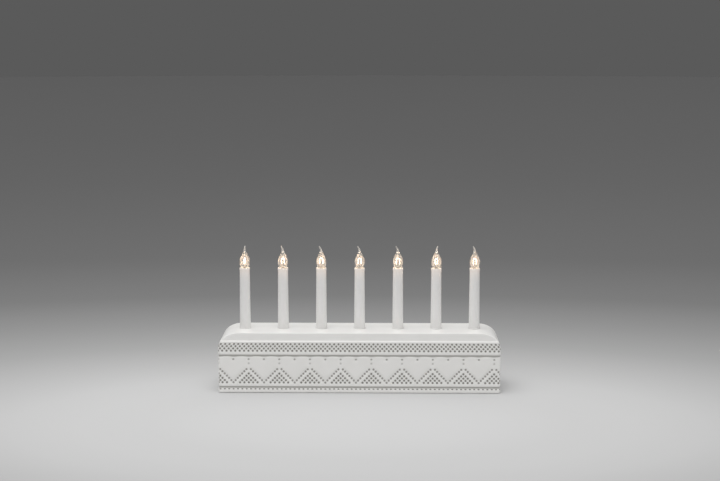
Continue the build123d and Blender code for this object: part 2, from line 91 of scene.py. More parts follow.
def add(tree, kind, inputs=None, **settings):
    """Adds a node and sets it. An input given as a node or a socket is linked, and any other is set."""
    node = tree.nodes.new(kind)
    for name, value in settings.items():
        setattr(node, name, value)
    for name, value in (inputs or {}).items():
        if isinstance(value, bpy.types.Node):
            value = value.outputs[0]
        if isinstance(value, bpy.types.NodeSocket):
            tree.links.new(value, node.inputs[name])
        else:
            node.inputs[name].default_value = value
    return node


# %% [markdown]
# ## Camera
#
# The object is seen from the front and a little above, through a long lens, so the upright lines stay
# nearly parallel. The camera stands two metres away, thirty millimetres to the right of the middle. Its
# height and tilt come from how deep the roof looks.

# %% Camera
CAMERA_PLACE = (30.5 * MM, -2065 * MM, 515 * MM)
CAMERA_TILT = 81.71
CAMERA_TURN = 0.83
CAMERA_LENS = 72.95

camera_data = bpy.data.cameras.new("camera")
camera_data.lens = CAMERA_LENS
camera_data.sensor_width = 36.0
camera = bpy.data.objects.new("camera", camera_data)
camera.location = CAMERA_PLACE
camera.rotation_euler = (math.radians(CAMERA_TILT), 0, math.radians(CAMERA_TURN))
bpy.context.scene.collection.objects.link(camera)
bpy.context.scene.camera = camera
print("camera at", [round(c, 3) for c in camera.location])

# %% [markdown]
# ## Floor
#
# The object stands on pale paper with a painted fall of light, darker away from it. Lamps could make that
# fall of light, but they would change the object too. So a large disc carries it in its own colour as painted
# light, a smooth function of the distance from the object, and the lamps stay plain.

# %% Floor
FLOOR_RADIUS = 14.0
FLOOR_CENTRE_Y = -0.195
FLOOR_SIDE_STRETCH = 0.6
# Painted light: the paper's grey by distance from the object, brightest close to it.
FLOOR_PAINTED_LIGHT_STOPS = (
    (0.0, "#d3d3d3"), (0.006, "#d3d3d3"), (0.012, "#cecece"), (0.018, "#cdcdcd"), (0.025, "#bfbfbf"),
    (0.036, "#a8a8a8"), (0.048, "#979797"), (0.066, "#818181"), (0.1, "#757575"), (0.15, "#747474"),
    (0.22, "#727272"), (0.35, "#707070"), (0.6, "#6e6e6e"), (1.0, "#6c6c6c"),
)


def new_material(name):
    """An empty material and its tree."""
    material = bpy.data.materials.new(name)
    material.use_nodes = True
    material.node_tree.nodes.clear()
    return material, material.node_tree


def paper():
    """Matt background paper: no shine at all, only a painted fall of light, a grey that deepens with the
    distance from the object.
    """
    material, tree = new_material("matt_paper_with_painted_light")
    centred = {
        "Vector": add(tree, "ShaderNodeTexCoord").outputs["Object"],
        "Location": (0, -FLOOR_CENTRE_Y, 0),
        "Scale": (FLOOR_SIDE_STRETCH, 1, 1),
    }
    shifted = add(tree, "ShaderNodeMapping", centred)
    distance = add(tree, "ShaderNodeVectorMath", {0: shifted}, operation="LENGTH").outputs["Value"]
    share = add(tree, "ShaderNodeMath", {0: distance, 1: FLOOR_RADIUS}, operation="DIVIDE")
    ramp = add(tree, "ShaderNodeValToRGB", {"Fac": share})
    stops = ramp.color_ramp.elements
    for stop, (position, code) in zip(stops, (FLOOR_PAINTED_LIGHT_STOPS[0], FLOOR_PAINTED_LIGHT_STOPS[-1])):
        stop.position, stop.color = position, linear(code)
    for position, code in FLOOR_PAINTED_LIGHT_STOPS[1:-1]:
        stops.new(position).color = linear(code)
    shader = add(tree, "ShaderNodeBsdfDiffuse", {"Color": ramp, "Roughness": 0.6})
    add(tree, "ShaderNodeOutputMaterial", {"Surface": shader})
    return material


floor_mesh = bpy.data.meshes.new("floor")
floor_form = bmesh.new()
bmesh.ops.create_circle(floor_form, cap_ends=True, radius=FLOOR_RADIUS, segments=96)
floor_form.to_mesh(floor_mesh)
floor_form.free()
floor = bpy.data.objects.new("floor", floor_mesh)
floor.data.materials.append(paper())
bpy.context.scene.collection.objects.link(floor)
print("floor", 2 * FLOOR_RADIUS, "m across")

# %% [markdown]
# ## World and lamp
#
# Beyond the disc the world shows one dark grey to the camera, in reflections and through glass. To
# everything else it is a plain white sky, dimmer from the two sides, so the end walls and the candles'
# flanks turn a little darker. One large softbox overhead makes the roof the brightest face and gives the
# soft shadow on the floor.

# %% World and lamp
BACKDROP_GREY = "#5a5a5a"
SKY_STRENGTH = 0.845
SIDE_SHARE = 0.45
SOFTBOX_PLACE, SOFTBOX_SIZE, SOFTBOX_POWER = (-0.25, -0.3, 1.7), (1.4, 1.2), 12.0

world = bpy.data.worlds.new("studio")
world.use_nodes = True
bpy.context.scene.world = world
sky = world.node_tree
sky.nodes.clear()
rays = add(sky, "ShaderNodeLightPath").outputs
seen = rays["Is Camera Ray"]
for ray in ("Is Glossy Ray", "Is Transmission Ray"):
    seen = add(sky, "ShaderNodeMath", {0: seen, 1: rays[ray]}, operation="MAXIMUM").outputs[0]
direction = add(sky, "ShaderNodeSeparateXYZ", {0: add(sky, "ShaderNodeTexCoord").outputs["Generated"]})
sideways = add(sky, "ShaderNodeMath", {0: direction, 1: direction}, operation="MULTIPLY")
levels = {"Value": sideways, "To Min": SKY_STRENGTH, "To Max": SKY_STRENGTH * SIDE_SHARE}
strength = add(sky, "ShaderNodeMapRange", levels)
soft_light = add(sky, "ShaderNodeBackground", {"Color": (1, 1, 1, 1), "Strength": strength})
backdrop = add(sky, "ShaderNodeBackground", {"Color": linear(BACKDROP_GREY), "Strength": 1.0})
mixed = add(sky, "ShaderNodeMixShader", {0: seen, 1: soft_light, 2: backdrop})
add(sky, "ShaderNodeOutputWorld", {"Surface": mixed})

softbox_data = bpy.data.lights.new("overhead_softbox", "AREA")
softbox_data.shape = "RECTANGLE"
softbox_data.size, softbox_data.size_y = SOFTBOX_SIZE
softbox_data.energy = SOFTBOX_POWER
softbox = bpy.data.objects.new("overhead_softbox", softbox_data)
softbox.location = SOFTBOX_PLACE
softbox.rotation_euler = (-Vector(SOFTBOX_PLACE)).to_track_quat("-Z", "Y").to_euler()
bpy.context.scene.collection.objects.link(softbox)
bpy.context.scene.view_settings.view_transform = "Standard"
print("softbox of", SOFTBOX_POWER, "W, sky at", SKY_STRENGTH)

# %% [markdown]
# ## Helpers for making pieces
#
# Most pieces of a candle are turned: one outline in a plane, swept round an upright axis. A screw modifier
# could do it too, but `turned` builds the mesh straight from its outline and closes it at the poles, so it
# needs no clean-up. `make_piece` links the mesh as an object, and `dress` says which body the piece rides
# on and which solids it stands for.

# %% Mesh helpers


def make_piece(name, points, faces, material=None):
    """Links a mesh made of points in metres and faces, with smooth shading."""
    mesh = bpy.data.meshes.new(name)
    mesh.from_pydata(points, [], faces)
    mesh.validate()
    mesh.polygons.foreach_set("use_smooth", [True] * len(mesh.polygons))
    if material:
        mesh.materials.append(material)
    piece = bpy.data.objects.new(name, mesh)
    bpy.context.scene.collection.objects.link(piece)
    return piece


def turned(outline, sides=48, closed=False, lean=None):
    """Points and faces of an outline of (radius, height) in millimetres, swept round the Z axis.

    A closed outline runs round a ring. An open one starts and ends on the axis. lean(height) shifts a level
    along X.
    """
    points, rings = [], []
    for radius, height in outline:
        shift = lean(height) if lean else 0.0
        if radius == 0:
            rings.append([len(points)])
            points.append((shift * MM, 0, height * MM))
            continue
        ring = []
        for k in range(sides):
            way = 2 * math.pi * k / sides
            ring.append(len(points))
            points.append(((radius * math.cos(way) + shift) * MM, radius * math.sin(way) * MM, height * MM))
        rings.append(ring)
    pairs = list(zip(rings, rings[1:]))
    if closed:
        pairs.append((rings[-1], rings[0]))
    faces = []
    for low, high in pairs:
        for k in range(sides):
            after = (k + 1) % sides
            if len(low) == 1:
                faces.append((low[0], high[after], high[k]))
            elif len(high) == 1:
                faces.append((low[k], low[after], high[0]))
            else:
                faces.append((low[k], low[after], high[after], high[k]))
    return points, faces


def point_outwards(piece):
    """Merges doubles and turns every face of a closed mesh outwards."""
    form = bmesh.new()
    form.from_mesh(piece.data)
    bmesh.ops.remove_doubles(form, verts=form.verts, dist=1e-7)
    bmesh.ops.recalc_face_normals(form, faces=form.faces)
    form.to_mesh(piece.data)
    form.free()
    return piece


def move_into_place(piece, place, turn=0.0):
    """Puts the piece's place and turn into its mesh, so its object stays at the origin."""
    piece.data.transform(Matrix.Translation(place) @ Matrix.Rotation(turn, 4, "Z"))


def dress(piece, body, slot_name, *nodes):
    """Rides the piece on its body and hides the solids it stands for; its slot name is not used."""
    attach(piece, body)
    if nodes:
        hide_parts(*nodes)


# %% [markdown]
# ## The places that the frame gives
#
# Everything is built from the solids' own boxes: the body's length and depth, the candles' axes, the roof
# and the sleeves' rims. Nothing is fitted by eye afterwards.

# %% Places read from the frame
CANDLES = range(1, 8)


def box_of(name):
    """The low and high corners of a solid in millimetres."""
    return [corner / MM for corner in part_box(name)]


body_low, body_high = box_of("ceramic_body")
half_length, half_depth = body_high.x, body_high.y
rim_bottom, roof_top = body_low.z, body_high.z
sleeve_boxes = {k: box_of(f"candle_sleeve_{k}") for k in CANDLES}
candle_x = {k: (low.x + high.x) / 2 for k, (low, high) in sleeve_boxes.items()}
flange_top, rim = sleeve_boxes[1][0].z, sleeve_boxes[1][1].z
print("body", round(2 * half_length), "x", round(2 * half_depth), "mm")
print("roof at", round(roof_top, 1), "and sleeves' rims at", round(rim, 1), "mm")

# %% [markdown]
# ## The ceramic body: a lattice for the lace
#
# The lace is pressed on a diamond lattice: its dots lie on alternate columns of rows 3.2 mm apart, and the
# columns are 402 / 129 mm apart. The dots could be small cutters taken from the wall one by one, but 1,444
# cuts are slow and leave torn edges. So the walls start as a coarse cage whose cells are the lattice
# itself, and every cell that carries a dot is marked with a number. A heart fills each space between two Vs
# of dots, and the ground sinks softly along the hearts' edges.

# %% The lattice
FRONT_COLUMNS, END_COLUMNS = 129, 25
COLUMNS = 2 * (FRONT_COLUMNS + END_COLUMNS)
BACK = 2
REPEAT = 14
COLUMN_WIDTH = 2 * half_length / FRONT_COLUMNS
ROW_HEIGHT = 3.21
BAND_ROWS = (70.95, 67.7, 64.45, 61.25)
NET_ROWS = (34.35, 31.15, 27.95, 24.75, 21.55, 18.35, 15.1)
NOTCH_ROW, SEAM_ROW, TEETH_ROW = 48.8, 42.8, 5.8
BAND_DOT, NET_DOT, VEE_DOT, TEETH_DOT, SEAM_DOT = 1.0, 1.05, 0.85, 0.85, 0.4
NOTCH_DOTS = {REPEAT // 2: 0.7, 0: 0.65}
INLET_HEIGHT = sum(corner.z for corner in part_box("cord_grommet")) / 2 / MM
INLET_CLEAR = 9.5


def side_of(column):
    """Which wall a place round the body lies on, and how far along that wall it is, from 0 to 1."""
    place = column % COLUMNS
    for side, count in enumerate((FRONT_COLUMNS, END_COLUMNS, FRONT_COLUMNS, END_COLUMNS)):
        if place < count:
            return side, place / count
        place -= count
    return 0, 0.0


def inlet_distance(column, height):
    """How far a place on the back wall lies from the cord inlet. Other walls are endlessly far from it."""
    side, share = side_of(column)
    if side != BACK:
        return math.inf
    return math.hypot(half_length * (2 * share - 1), height - INLET_HEIGHT)


def heart_column(column):
    """Distance in columns from the nearest line between two hearts."""
    return abs((column + REPEAT / 2) % REPEAT - REPEAT / 2)


def dot_depth(column, height):
    """How deep the lace dot of one cell is, from 0 for a plain cell to about 1."""

    def in_row(level):
        return abs(height - level) < ROW_HEIGHT / 3

    if inlet_distance(column, height) < INLET_CLEAR:
        return 0.0
    reach = round(heart_column(column))
    for row, level in enumerate(BAND_ROWS):
        if in_row(level):
            return BAND_DOT if (column + row) % 2 else 0.0
    for row, level in enumerate(NET_ROWS):
        if in_row(level):
            if reach == row + 1:
                return VEE_DOT
            return NET_DOT if row >= 2 and reach <= row - 2 and (reach - row) % 2 == 0 else 0.0
    if in_row(NOTCH_ROW):
        return NOTCH_DOTS.get(reach, 0.0)
    if in_row(SEAM_ROW):
        return SEAM_DOT if reach == 0 else 0.0
    if in_row(TEETH_ROW):
        return TEETH_DOT if column % 2 else 0.0
    return 0.0


print("lattice:", COLUMNS, "columns of", round(COLUMN_WIDTH, 2), "mm")

# %% [markdown]
# ## The hearts' soft relief
#
# Between the Vs the hearts swell out of the wall like cushions. Their middles lie almost at the wall's
# face, and the ground dips along their edges. A smooth function of the distance from those edges gives that
# at every point of the cage, so no seam shows between cells.

# %% Relief of the hearts
VEE_GROUND, HEART_GROUND = 0.3, 0.08
EDGE_DEPTH, EDGE_WIDTH = 0.8, 2.4
FADE_WIDTH, FADE_START = 3.0, 3.4


def relief_at(column, height):
    """How far the glazed ground lies behind the wall's face, in millimetres, as a negative number."""
    if not NET_ROWS[-1] - ROW_HEIGHT < height < NOTCH_ROW + ROW_HEIGHT:
        return 0.0
    fade = min(1.0, max(0.0, inlet_distance(column, height) / FADE_WIDTH - FADE_START))
    across = (REPEAT / 2 - heart_column(column)) * COLUMN_WIDTH
    slope = ROW_HEIGHT / COLUMN_WIDTH
    above_vee = (height - NET_ROWS[-1] - slope * across) / math.hypot(1, slope)
    if above_vee < 0:
        return -VEE_GROUND * fade
    ways = [above_vee, math.hypot(across, height - NOTCH_ROW)]
    if height > NET_ROWS[0]:
        ways.append(heart_column(column) * COLUMN_WIDTH)
    return -(HEART_GROUND + EDGE_DEPTH * math.exp(-((min(ways) / EDGE_WIDTH) ** 2))) * fade


print("relief at a heart's middle:", round(relief_at(REPEAT / 2, 36.0), 2), "mm")

# %% [markdown]
# ## The cage's rings
#
# The cage is a stack of rings, all with the same columns. On the walls their heights follow the rows of
# dots, the two grooves and the scalloped lip. Then they bend over the shoulder and climb a steep low riser
# to the flat roof, while the end walls curve over into it in two arcs. A bevel could round these edges too,
# but with stated rings every cell of the lattice keeps its place and size.

# %% Shapes of the end walls and the roof
SHOULDER, RISER_IN, RISER_LEAN, RIDGE_RADIUS = 75.4, 1.6, 0.8, 0.6
SPRING_HEIGHT, LOWER_RADIUS, UPPER_RADIUS = 63.5, 21.5, 34.75
ROOF_INSET = 2.0
SCALLOP_FOOT, SCALLOP_RISE = 51.0, 2.1
end_turn = math.asin((SPRING_HEIGHT - roof_top + UPPER_RADIUS) / (UPPER_RADIUS - LOWER_RADIUS))
lower_x = half_length - LOWER_RADIUS
upper_x = lower_x - (UPPER_RADIUS - LOWER_RADIUS) * math.cos(end_turn)


def wall_place(column, length, depth, relief=0.0):
    """A point of the wall at a place round the body, pushed along that wall's own direction by the relief."""
    side, share = side_of(column)
    along_x, along_y = length * (2 * share - 1), depth * (2 * share - 1)
    return (
        (along_x, -depth - relief),
        (length + relief, along_y),
        (-along_x, depth + relief),
        (-length - relief, -along_y),
    )[side]


def end_reach(height, inset=0.0):
    """Half the body's length at a height. The end walls curve over into the roof in two arcs."""
    if height <= SPRING_HEIGHT:
        return half_length - inset
    if height <= SPRING_HEIGHT + (LOWER_RADIUS - inset) * math.sin(end_turn):
        return lower_x + math.sqrt((LOWER_RADIUS - inset) ** 2 - (height - SPRING_HEIGHT) ** 2)
    over = height - roof_top + UPPER_RADIUS
    return upper_x + math.sqrt(max(0.0, (UPPER_RADIUS - inset) ** 2 - over**2))


def roof_depth(height):
    """Half the roof's depth at a height: a riser that leans in a little and rounds over at the ridge."""
    depth = half_depth - RISER_IN - RISER_LEAN * (height - SHOULDER) / (roof_top - SHOULDER)
    over = height - (roof_top - RIDGE_RADIUS)
    return depth - (RIDGE_RADIUS - math.sqrt(max(0.0, RIDGE_RADIUS**2 - over**2)) if over > 0 else 0.0)


def scallop(column):
    """Height of the scalloped lip under the upper groove."""
    return SCALLOP_FOOT + SCALLOP_RISE * abs(math.sin(math.pi * column / (REPEAT / 2)))


half_way = (SPRING_HEIGHT + roof_top) / 2
print("end wall half way up its curve:", round(end_reach(half_way), 1), "mm from the middle")

# %% The cage
# Each ring of the wall is its height and how far it stands out from the wall's face, both in millimetres.
GROOVE_IN = 1.2
# Share of painted shade that the two grooves take in the glaze finish.
GROOVE_PAINTED_SHADE = 0.7
wall_rings = [(rim_bottom, -1.4), (rim_bottom, -0.45), (0.85, -0.1), (1.7, 0.0), (4.7, 0.0)]
wall_rings += [(6.95, 0.0), (7.35, -GROOVE_IN), (9.3, -GROOVE_IN), (9.75, 0.0)]
wall_rings += [(NET_ROWS[-1] - ROW_HEIGHT / 2 + k * ROW_HEIGHT, 0.0) for k in range(8)]
wall_rings += [(38.6, 0.0), (41.2, 0.0), (44.4, 0.0), (47.3, 0.0), (50.3, 0.0), ("scallop", 0.0)]
wall_rings += [(53.3, -GROOVE_IN), (55.1, -GROOVE_IN), (55.6, 0.0), (59.65, 0.0), (62.85, 0.0), (66.05, 0.0)]
wall_rings += [(69.3, 0.0), (72.5, 0.0), (73.5, 0.0), (74.6, -0.22), (75.25, -0.85)]
roof_levels = (SHOULDER, 77.5, 79.4, 81.1, 82.7, 84.0, 85.1, 85.9, 86.3, roof_top)

cage_points, cage_painted_shade = [], []
for height, inset in wall_rings:
    for column in range(COLUMNS):
        place = column + 0.5
        level = scallop(place) if height == "scallop" else height
        length = min(end_reach(level), half_length + inset)
        x, y = wall_place(place, length, half_depth + inset, relief_at(place, level))
        cage_points.append((x * MM, y * MM, level * MM))
        cage_painted_shade.append(GROOVE_PAINTED_SHADE if inset == -GROOVE_IN else 0.0)
for height, inset in [(level, 0.0) for level in roof_levels] + [(roof_top, ROOF_INSET)]:
    for column in range(COLUMNS):
        x, y = wall_place(column + 0.5, end_reach(height) - inset, roof_depth(height) - inset)
        cage_points.append((x * MM, y * MM, height * MM))
        cage_painted_shade.append(0.0)

cage_faces, cage_depths = [], []
ring_total = len(cage_points) // COLUMNS
for ring in range(ring_total - 1):
    low, high = ring * COLUMNS, (ring + 1) * COLUMNS
    for column in range(COLUMNS):
        before = (column - 1) % COLUMNS
        cage_faces.append((low + before, low + column, high + column, high + before))
        middle = (cage_points[low + column][2] + cage_points[high + column][2]) / 2 / MM
        cage_depths.append(dot_depth(column, middle) if ring < len(wall_rings) - 1 else 0.0)

ceramic = make_piece("glazed_body", cage_points, cage_faces)
for name, domain, values in (("dot", "FACE", cage_depths), ("painted_pit_shade", "POINT", cage_painted_shade)):
    ceramic.data.attributes.new(name, "FLOAT", domain).data.foreach_set("value", values)
print("cage:", ring_total, "rings,", sum(d > 0 for d in cage_depths), "dots")

# %% [markdown]
# ## Pressing the lace
#
# A geometry tree turns the marked cells into dots. It pushes each marked cell into the wall on its own and
# draws its floor in to a smaller square, so each dot gets sloping sides. The depth is kept on the points,
# so the finish can paint shade into the dots. One round of subdivision then rounds every dot, as thick glaze
# does, and a soft noise gives the slight unevenness of a slip casting. A bump texture could draw such dots
# more cheaply, but from the side they would stay flat, and the real ones are deep enough to throw shadows.

# %% Running geometry trees


def new_geometry_tree(name, sockets):
    """A geometry tree with a geometry input, more named inputs and a geometry output."""
    tree = bpy.data.node_groups.new(name, "GeometryNodeTree")
    tree.interface.new_socket("Geometry", in_out="INPUT", socket_type="NodeSocketGeometry")
    for socket, kind, value in sockets:
        made = tree.interface.new_socket(socket, in_out="INPUT", socket_type=kind)
        if value is not None:
            made.default_value = value
    tree.interface.new_socket("Geometry", in_out="OUTPUT", socket_type="NodeSocketGeometry")
    return tree, add(tree, "NodeGroupInput").outputs


def finish_tree(tree, geometry, material):
    """Ends a geometry tree with real meshes and their finish."""
    real = add(tree, "GeometryNodeRealizeInstances", {"Geometry": geometry})
    painted = add(tree, "GeometryNodeSetMaterial", {"Geometry": real, "Material": material})
    add(tree, "NodeGroupOutput", {"Geometry": painted})
    print("geometry tree:", tree.name)


def run_tree(piece, tree, values):
    """Runs a geometry tree on a piece with the given inputs and keeps the result as its plain mesh."""
    modifier = piece.modifiers.new(tree.name, "NODES")
    modifier.node_group = tree
    for item in tree.interface.items_tree:
        if item.in_out == "INPUT" and item.name in values:
            modifier[item.identifier] = values[item.name]
    bpy.context.view_layer.update()
    shaped = piece.evaluated_get(bpy.context.evaluated_depsgraph_get())
    mesh = bpy.data.meshes.new_from_object(shaped)
    piece.modifiers.remove(modifier)
    spare = piece.data
    piece.data = mesh
    mesh.name = piece.name
    bpy.data.meshes.remove(spare)


# %% Geometry tree for the lace
CAST_SWELL = 100 / 9  # millimetres from one soft swell of the casting to the next
STILL_EDGE = 0.4  # millimetres at the rim and the roof that the unevenness leaves alone


def press_tree():
    """The tree that presses marked cells into lace dots and makes the casting a little uneven."""
    sockets = [
        ("Dot Depth", "NodeSocketFloat", 1.3 * MM),
        ("Floor Share", "NodeSocketFloat", 0.95),
        ("Unevenness", "NodeSocketFloat", 0.1 * MM),
        ("Material", "NodeSocketMaterial", None),
    ]
    tree, given = new_geometry_tree("press_lace", sockets)
    dot = add(tree, "GeometryNodeInputNamedAttribute", {"Name": "dot"}, data_type="FLOAT").outputs[0]
    marked = add(tree, "FunctionNodeCompare", {0: dot, 1: 0.01}, operation="GREATER_THAN")
    push = add(tree, "ShaderNodeMath", {0: dot, 1: given["Dot Depth"]}, operation="MULTIPLY")
    inward = add(tree, "ShaderNodeMath", {0: push, 1: -1.0}, operation="MULTIPLY")
    cells = {"Mesh": given["Geometry"], "Selection": marked, "Offset Scale": inward, "Individual": True}
    pressed = add(tree, "GeometryNodeExtrudeMesh", cells, mode="FACES").outputs
    floors = {"Geometry": pressed["Mesh"], "Selection": pressed["Top"], "Scale": given["Floor Share"]}
    drawn = add(tree, "GeometryNodeScaleElements", floors, domain="FACE")
    # The dots' floors keep their depth as the share of painted shade in the glaze.
    depths = {"Geometry": drawn, "Selection": pressed["Top"], "Name": "painted_pit_shade", "Value": dot}
    kept = add(tree, "GeometryNodeStoreNamedAttribute", depths, data_type="FLOAT", domain="POINT")
    rounded = add(tree, "GeometryNodeSubdivisionSurface", {"Mesh": kept, "Level": 1})
    noise = add(tree, "ShaderNodeTexNoise", {"Scale": 1 / (CAST_SWELL * MM), "Detail": 1.0})
    amount = add(tree, "ShaderNodeMath", {0: noise, 1: given["Unevenness"]}, operation="MULTIPLY")
    back = add(tree, "ShaderNodeMath", {0: amount, 1: -1.0}, operation="MULTIPLY")
    normal = add(tree, "GeometryNodeInputNormal")
    shift = add(tree, "ShaderNodeVectorMath", {0: normal, "Scale": back}, operation="SCALE")
    level = add(tree, "ShaderNodeSeparateXYZ", {0: add(tree, "GeometryNodeInputPosition")}).outputs["Z"]
    low, high = (rim_bottom + STILL_EDGE) * MM, (roof_top - STILL_EDGE) * MM
    above_rim = add(tree, "FunctionNodeCompare", {0: level, 1: low}, operation="GREATER_THAN")
    below_roof = add(tree, "FunctionNodeCompare", {0: level, 1: high}, operation="LESS_THAN")
    free = add(tree, "FunctionNodeBooleanMath", {0: above_rim, 1: below_roof}, operation="AND")
    moved = add(tree, "GeometryNodeSetPosition", {"Geometry": rounded, "Selection": free, "Offset": shift})
    smooth = add(tree, "GeometryNodeSetShadeSmooth", {"Geometry": moved, "Shade Smooth": True})
    finish_tree(tree, smooth, given["Material"])
    return tree


# %% [markdown]
# ## Finishes
#
# Each finish starts from one function: a soft noise of a real size, measured in millimetres, shifts its
# colour and its shine between two close values and lifts its surface a little. What makes each material
# itself is then added on top: painted shade in the dots, a painted warm glow at the plastic rims, brushed
# plating, pressed fibres.

# %% The common base of the solid finishes


def grain(tree, size, detail=3.0, stretch=(1, 1, 1)):
    """Noise whose spots are about that many millimetres wide, stretched along the axes."""
    place = add(tree, "ShaderNodeTexCoord").outputs["Object"]
    share = tuple(1 / s for s in stretch)
    scaled = add(tree, "ShaderNodeVectorMath", {0: place, 1: share}, operation="MULTIPLY")
    return add(tree, "ShaderNodeTexNoise", {"Vector": scaled, "Scale": 1 / (size * MM), "Detail": detail})


def climb(tree, low, high, foot=0.0, top=1.0):
    """A value that climbs from a foot to a top between two heights in millimetres."""
    place = add(tree, "ShaderNodeSeparateXYZ", {0: add(tree, "ShaderNodeTexCoord").outputs["Object"]})
    heights = {"Value": place.outputs["Z"], "From Min": low * MM, "From Max": high * MM}
    return add(tree, "ShaderNodeMapRange", {**heights, "To Min": foot, "To Max": top})


def solid_finish(name, dark, light, shine, size, lift=0.0, stretch=(1, 1, 1), **more):
    """A finish whose colour, roughness and height change softly over spots of a size in millimetres."""
    material, tree = new_material(name)
    spots = grain(tree, size, stretch=stretch)
    colour = add(tree, "ShaderNodeMix", {0: spots, 6: linear(dark), 7: linear(light)}, data_type="RGBA")
    rough = add(tree, "ShaderNodeMapRange", {"Value": spots, "To Min": shine[0], "To Max": shine[1]})
    inputs = {"Base Color": colour.outputs[2], "Roughness": rough}
    inputs.update({key.replace("_", " "): value for key, value in more.items()})
    if lift:
        bump = {"Height": grain(tree, size / 3, stretch=stretch), "Strength": 1.0, "Distance": lift * MM}
        inputs["Normal"] = add(tree, "ShaderNodeBump", bump)
    shader = add(tree, "ShaderNodeBsdfPrincipled", inputs)
    add(tree, "ShaderNodeOutputMaterial", {"Surface": shader})
    print("finish:", name)
    return material


def parts_of(material):
    """A finish's tree and its main shader, for what one material adds to the common base."""
    return material.node_tree, material.node_tree.nodes["Principled BSDF"]


def tinted(material, share, code):
    """Lays another colour over a finish, as far as the share goes from 0 to 1."""
    tree, shader = parts_of(material)
    plain = shader.inputs["Base Color"].links[0].from_socket
    over = add(tree, "ShaderNodeMix", {0: share, 6: plain, 7: linear(code)}, data_type="RGBA")
    tree.links.new(over.outputs[2], shader.inputs["Base Color"])


# %% [markdown]
# ## The glaze
#
# The glaze is a satin white one over a white casting. It reflects in a soft broad way, with slow changes
# where it ran a little thicker. In the dots and grooves a deeper warm grey is painted in as shade, and that
# is what lets the lace be read from across a room. A painted image could hold that shade. The share that the
# tree above kept on the points needs no image, and it always falls in the dots.

# %% Satin white glaze
glaze = solid_finish("satin_white_glaze", "#eeedea", "#f4f3f1", (0.36, 0.46), 22.0, 0.05)
# Painted shade: the dots and grooves take a darker warm grey, as far as the kept share goes.
pit_shade_share = add(glaze.node_tree, "ShaderNodeAttribute", attribute_name="painted_pit_shade").outputs["Fac"]
tinted(glaze, pit_shade_share, "#8c8983")
run_tree(ceramic, press_tree(), {"Material": glaze})
print("pressed body:", len(ceramic.data.polygons), "faces")

# %% [markdown]
# ## Closing the body
#
# The real body is open below: it has a rebate for the cover, a hollow with six millimetre walls, seven
# holes for the candles' studs and a recess for the cord's grommet. Boolean cuts would work, but they break
# the fine lace mesh along the cuts. So every opening is a loop of points, and faces are filled between the
# loops and the edges of the pressed walls.

# %% Loops and skins
WALL, REBATE_IN, STUD_HOLE = 6.0, 3.0, 4.9
COVER_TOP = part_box("base_cover")[1].z / MM
HOLLOW_WALL_TOP = SHOULDER - WALL
RECESS_RADIUS, RECESS_DEPTH, NECK_RADIUS = 6.5, 1.6, 4.5
INLET_OPENING = 8.2
RIM_EDGE = rim_bottom + 1.5  # an open edge below this height belongs to the rim


def loop_at(form, points):
    """Adds a closed loop of points in millimetres and returns its vertices and edges."""
    made = [form.verts.new([c * MM for c in point]) for point in points]
    return made, [form.edges.new(pair) for pair in zip(made, made[1:] + made[:1])]


def rounded_loop(length, depth, height, radius=1.75, steps=4):
    """A rectangle with rounded corners, as a loop of points."""
    points = []
    for corner, (sx, sy) in enumerate(((-1, -1), (1, -1), (1, 1), (-1, 1))):
        for step in range(steps + 1):
            way = math.pi + math.pi / 2 * (corner + step / steps)
            x = sx * (length - radius) + radius * math.cos(way)
            points.append((x, sy * (depth - radius) + radius * math.sin(way), height))
    return points


def round_loop(radius, place, upright=True, sides=48):
    """A circle as a loop of points, lying flat or standing against the back wall."""
    ways = [2 * math.pi * k / sides for k in range(sides)]
    x, y, z = place
    if upright:
        return [(x + radius * math.cos(w), y + radius * math.sin(w), z) for w in ways]
    return [(x + radius * math.cos(w), y, z + radius * math.sin(w)) for w in ways]


def skin(form, low, high, smooth=False):
    """Faces between two loops of as many points."""
    made = []
    for k in range(len(low)):
        after = (k + 1) % len(low)
        made.append(form.faces.new((low[k], low[after], high[after], high[k])))
        made[-1].smooth = smooth
    return made


def fill(form, *edges):
    """Fills the flat area that closed loops of edges bound."""
    bmesh.ops.triangle_fill(form, use_beauty=True, edges=[e for loop in edges for e in loop])


def hollow_levels():
    """The loops of the rebate and the hollow, from the rim up to the underside of the roof."""
    sizes = [
        (half_length - REBATE_IN, half_depth - REBATE_IN, rim_bottom),
        (half_length - REBATE_IN, half_depth - REBATE_IN, COVER_TOP),
        (half_length - WALL, half_depth - WALL, COVER_TOP),
        (half_length - WALL, half_depth - WALL, SPRING_HEIGHT),
        (end_reach(HOLLOW_WALL_TOP, WALL), half_depth - WALL, HOLLOW_WALL_TOP),
    ]
    for share in (0.0, 0.25, 0.5, 0.7, 0.85, 0.95, 1.0):
        height = HOLLOW_WALL_TOP + share * (roof_top - SHOULDER)
        sizes.append((end_reach(height, WALL), half_depth - RISER_IN - WALL - RISER_LEAN * share, height))
    return [rounded_loop(*size) for size in sizes]


print("hollow:", len(hollow_levels()), "loops")

# %% Close the body


def by_the_inlet(face):
    """Whether a face of the back wall lies where the inlet's recess goes."""
    middle = face.calc_center_median() / MM
    return face.normal.y > 0.5 and math.hypot(middle.x, middle.z - INLET_HEIGHT) < INLET_OPENING


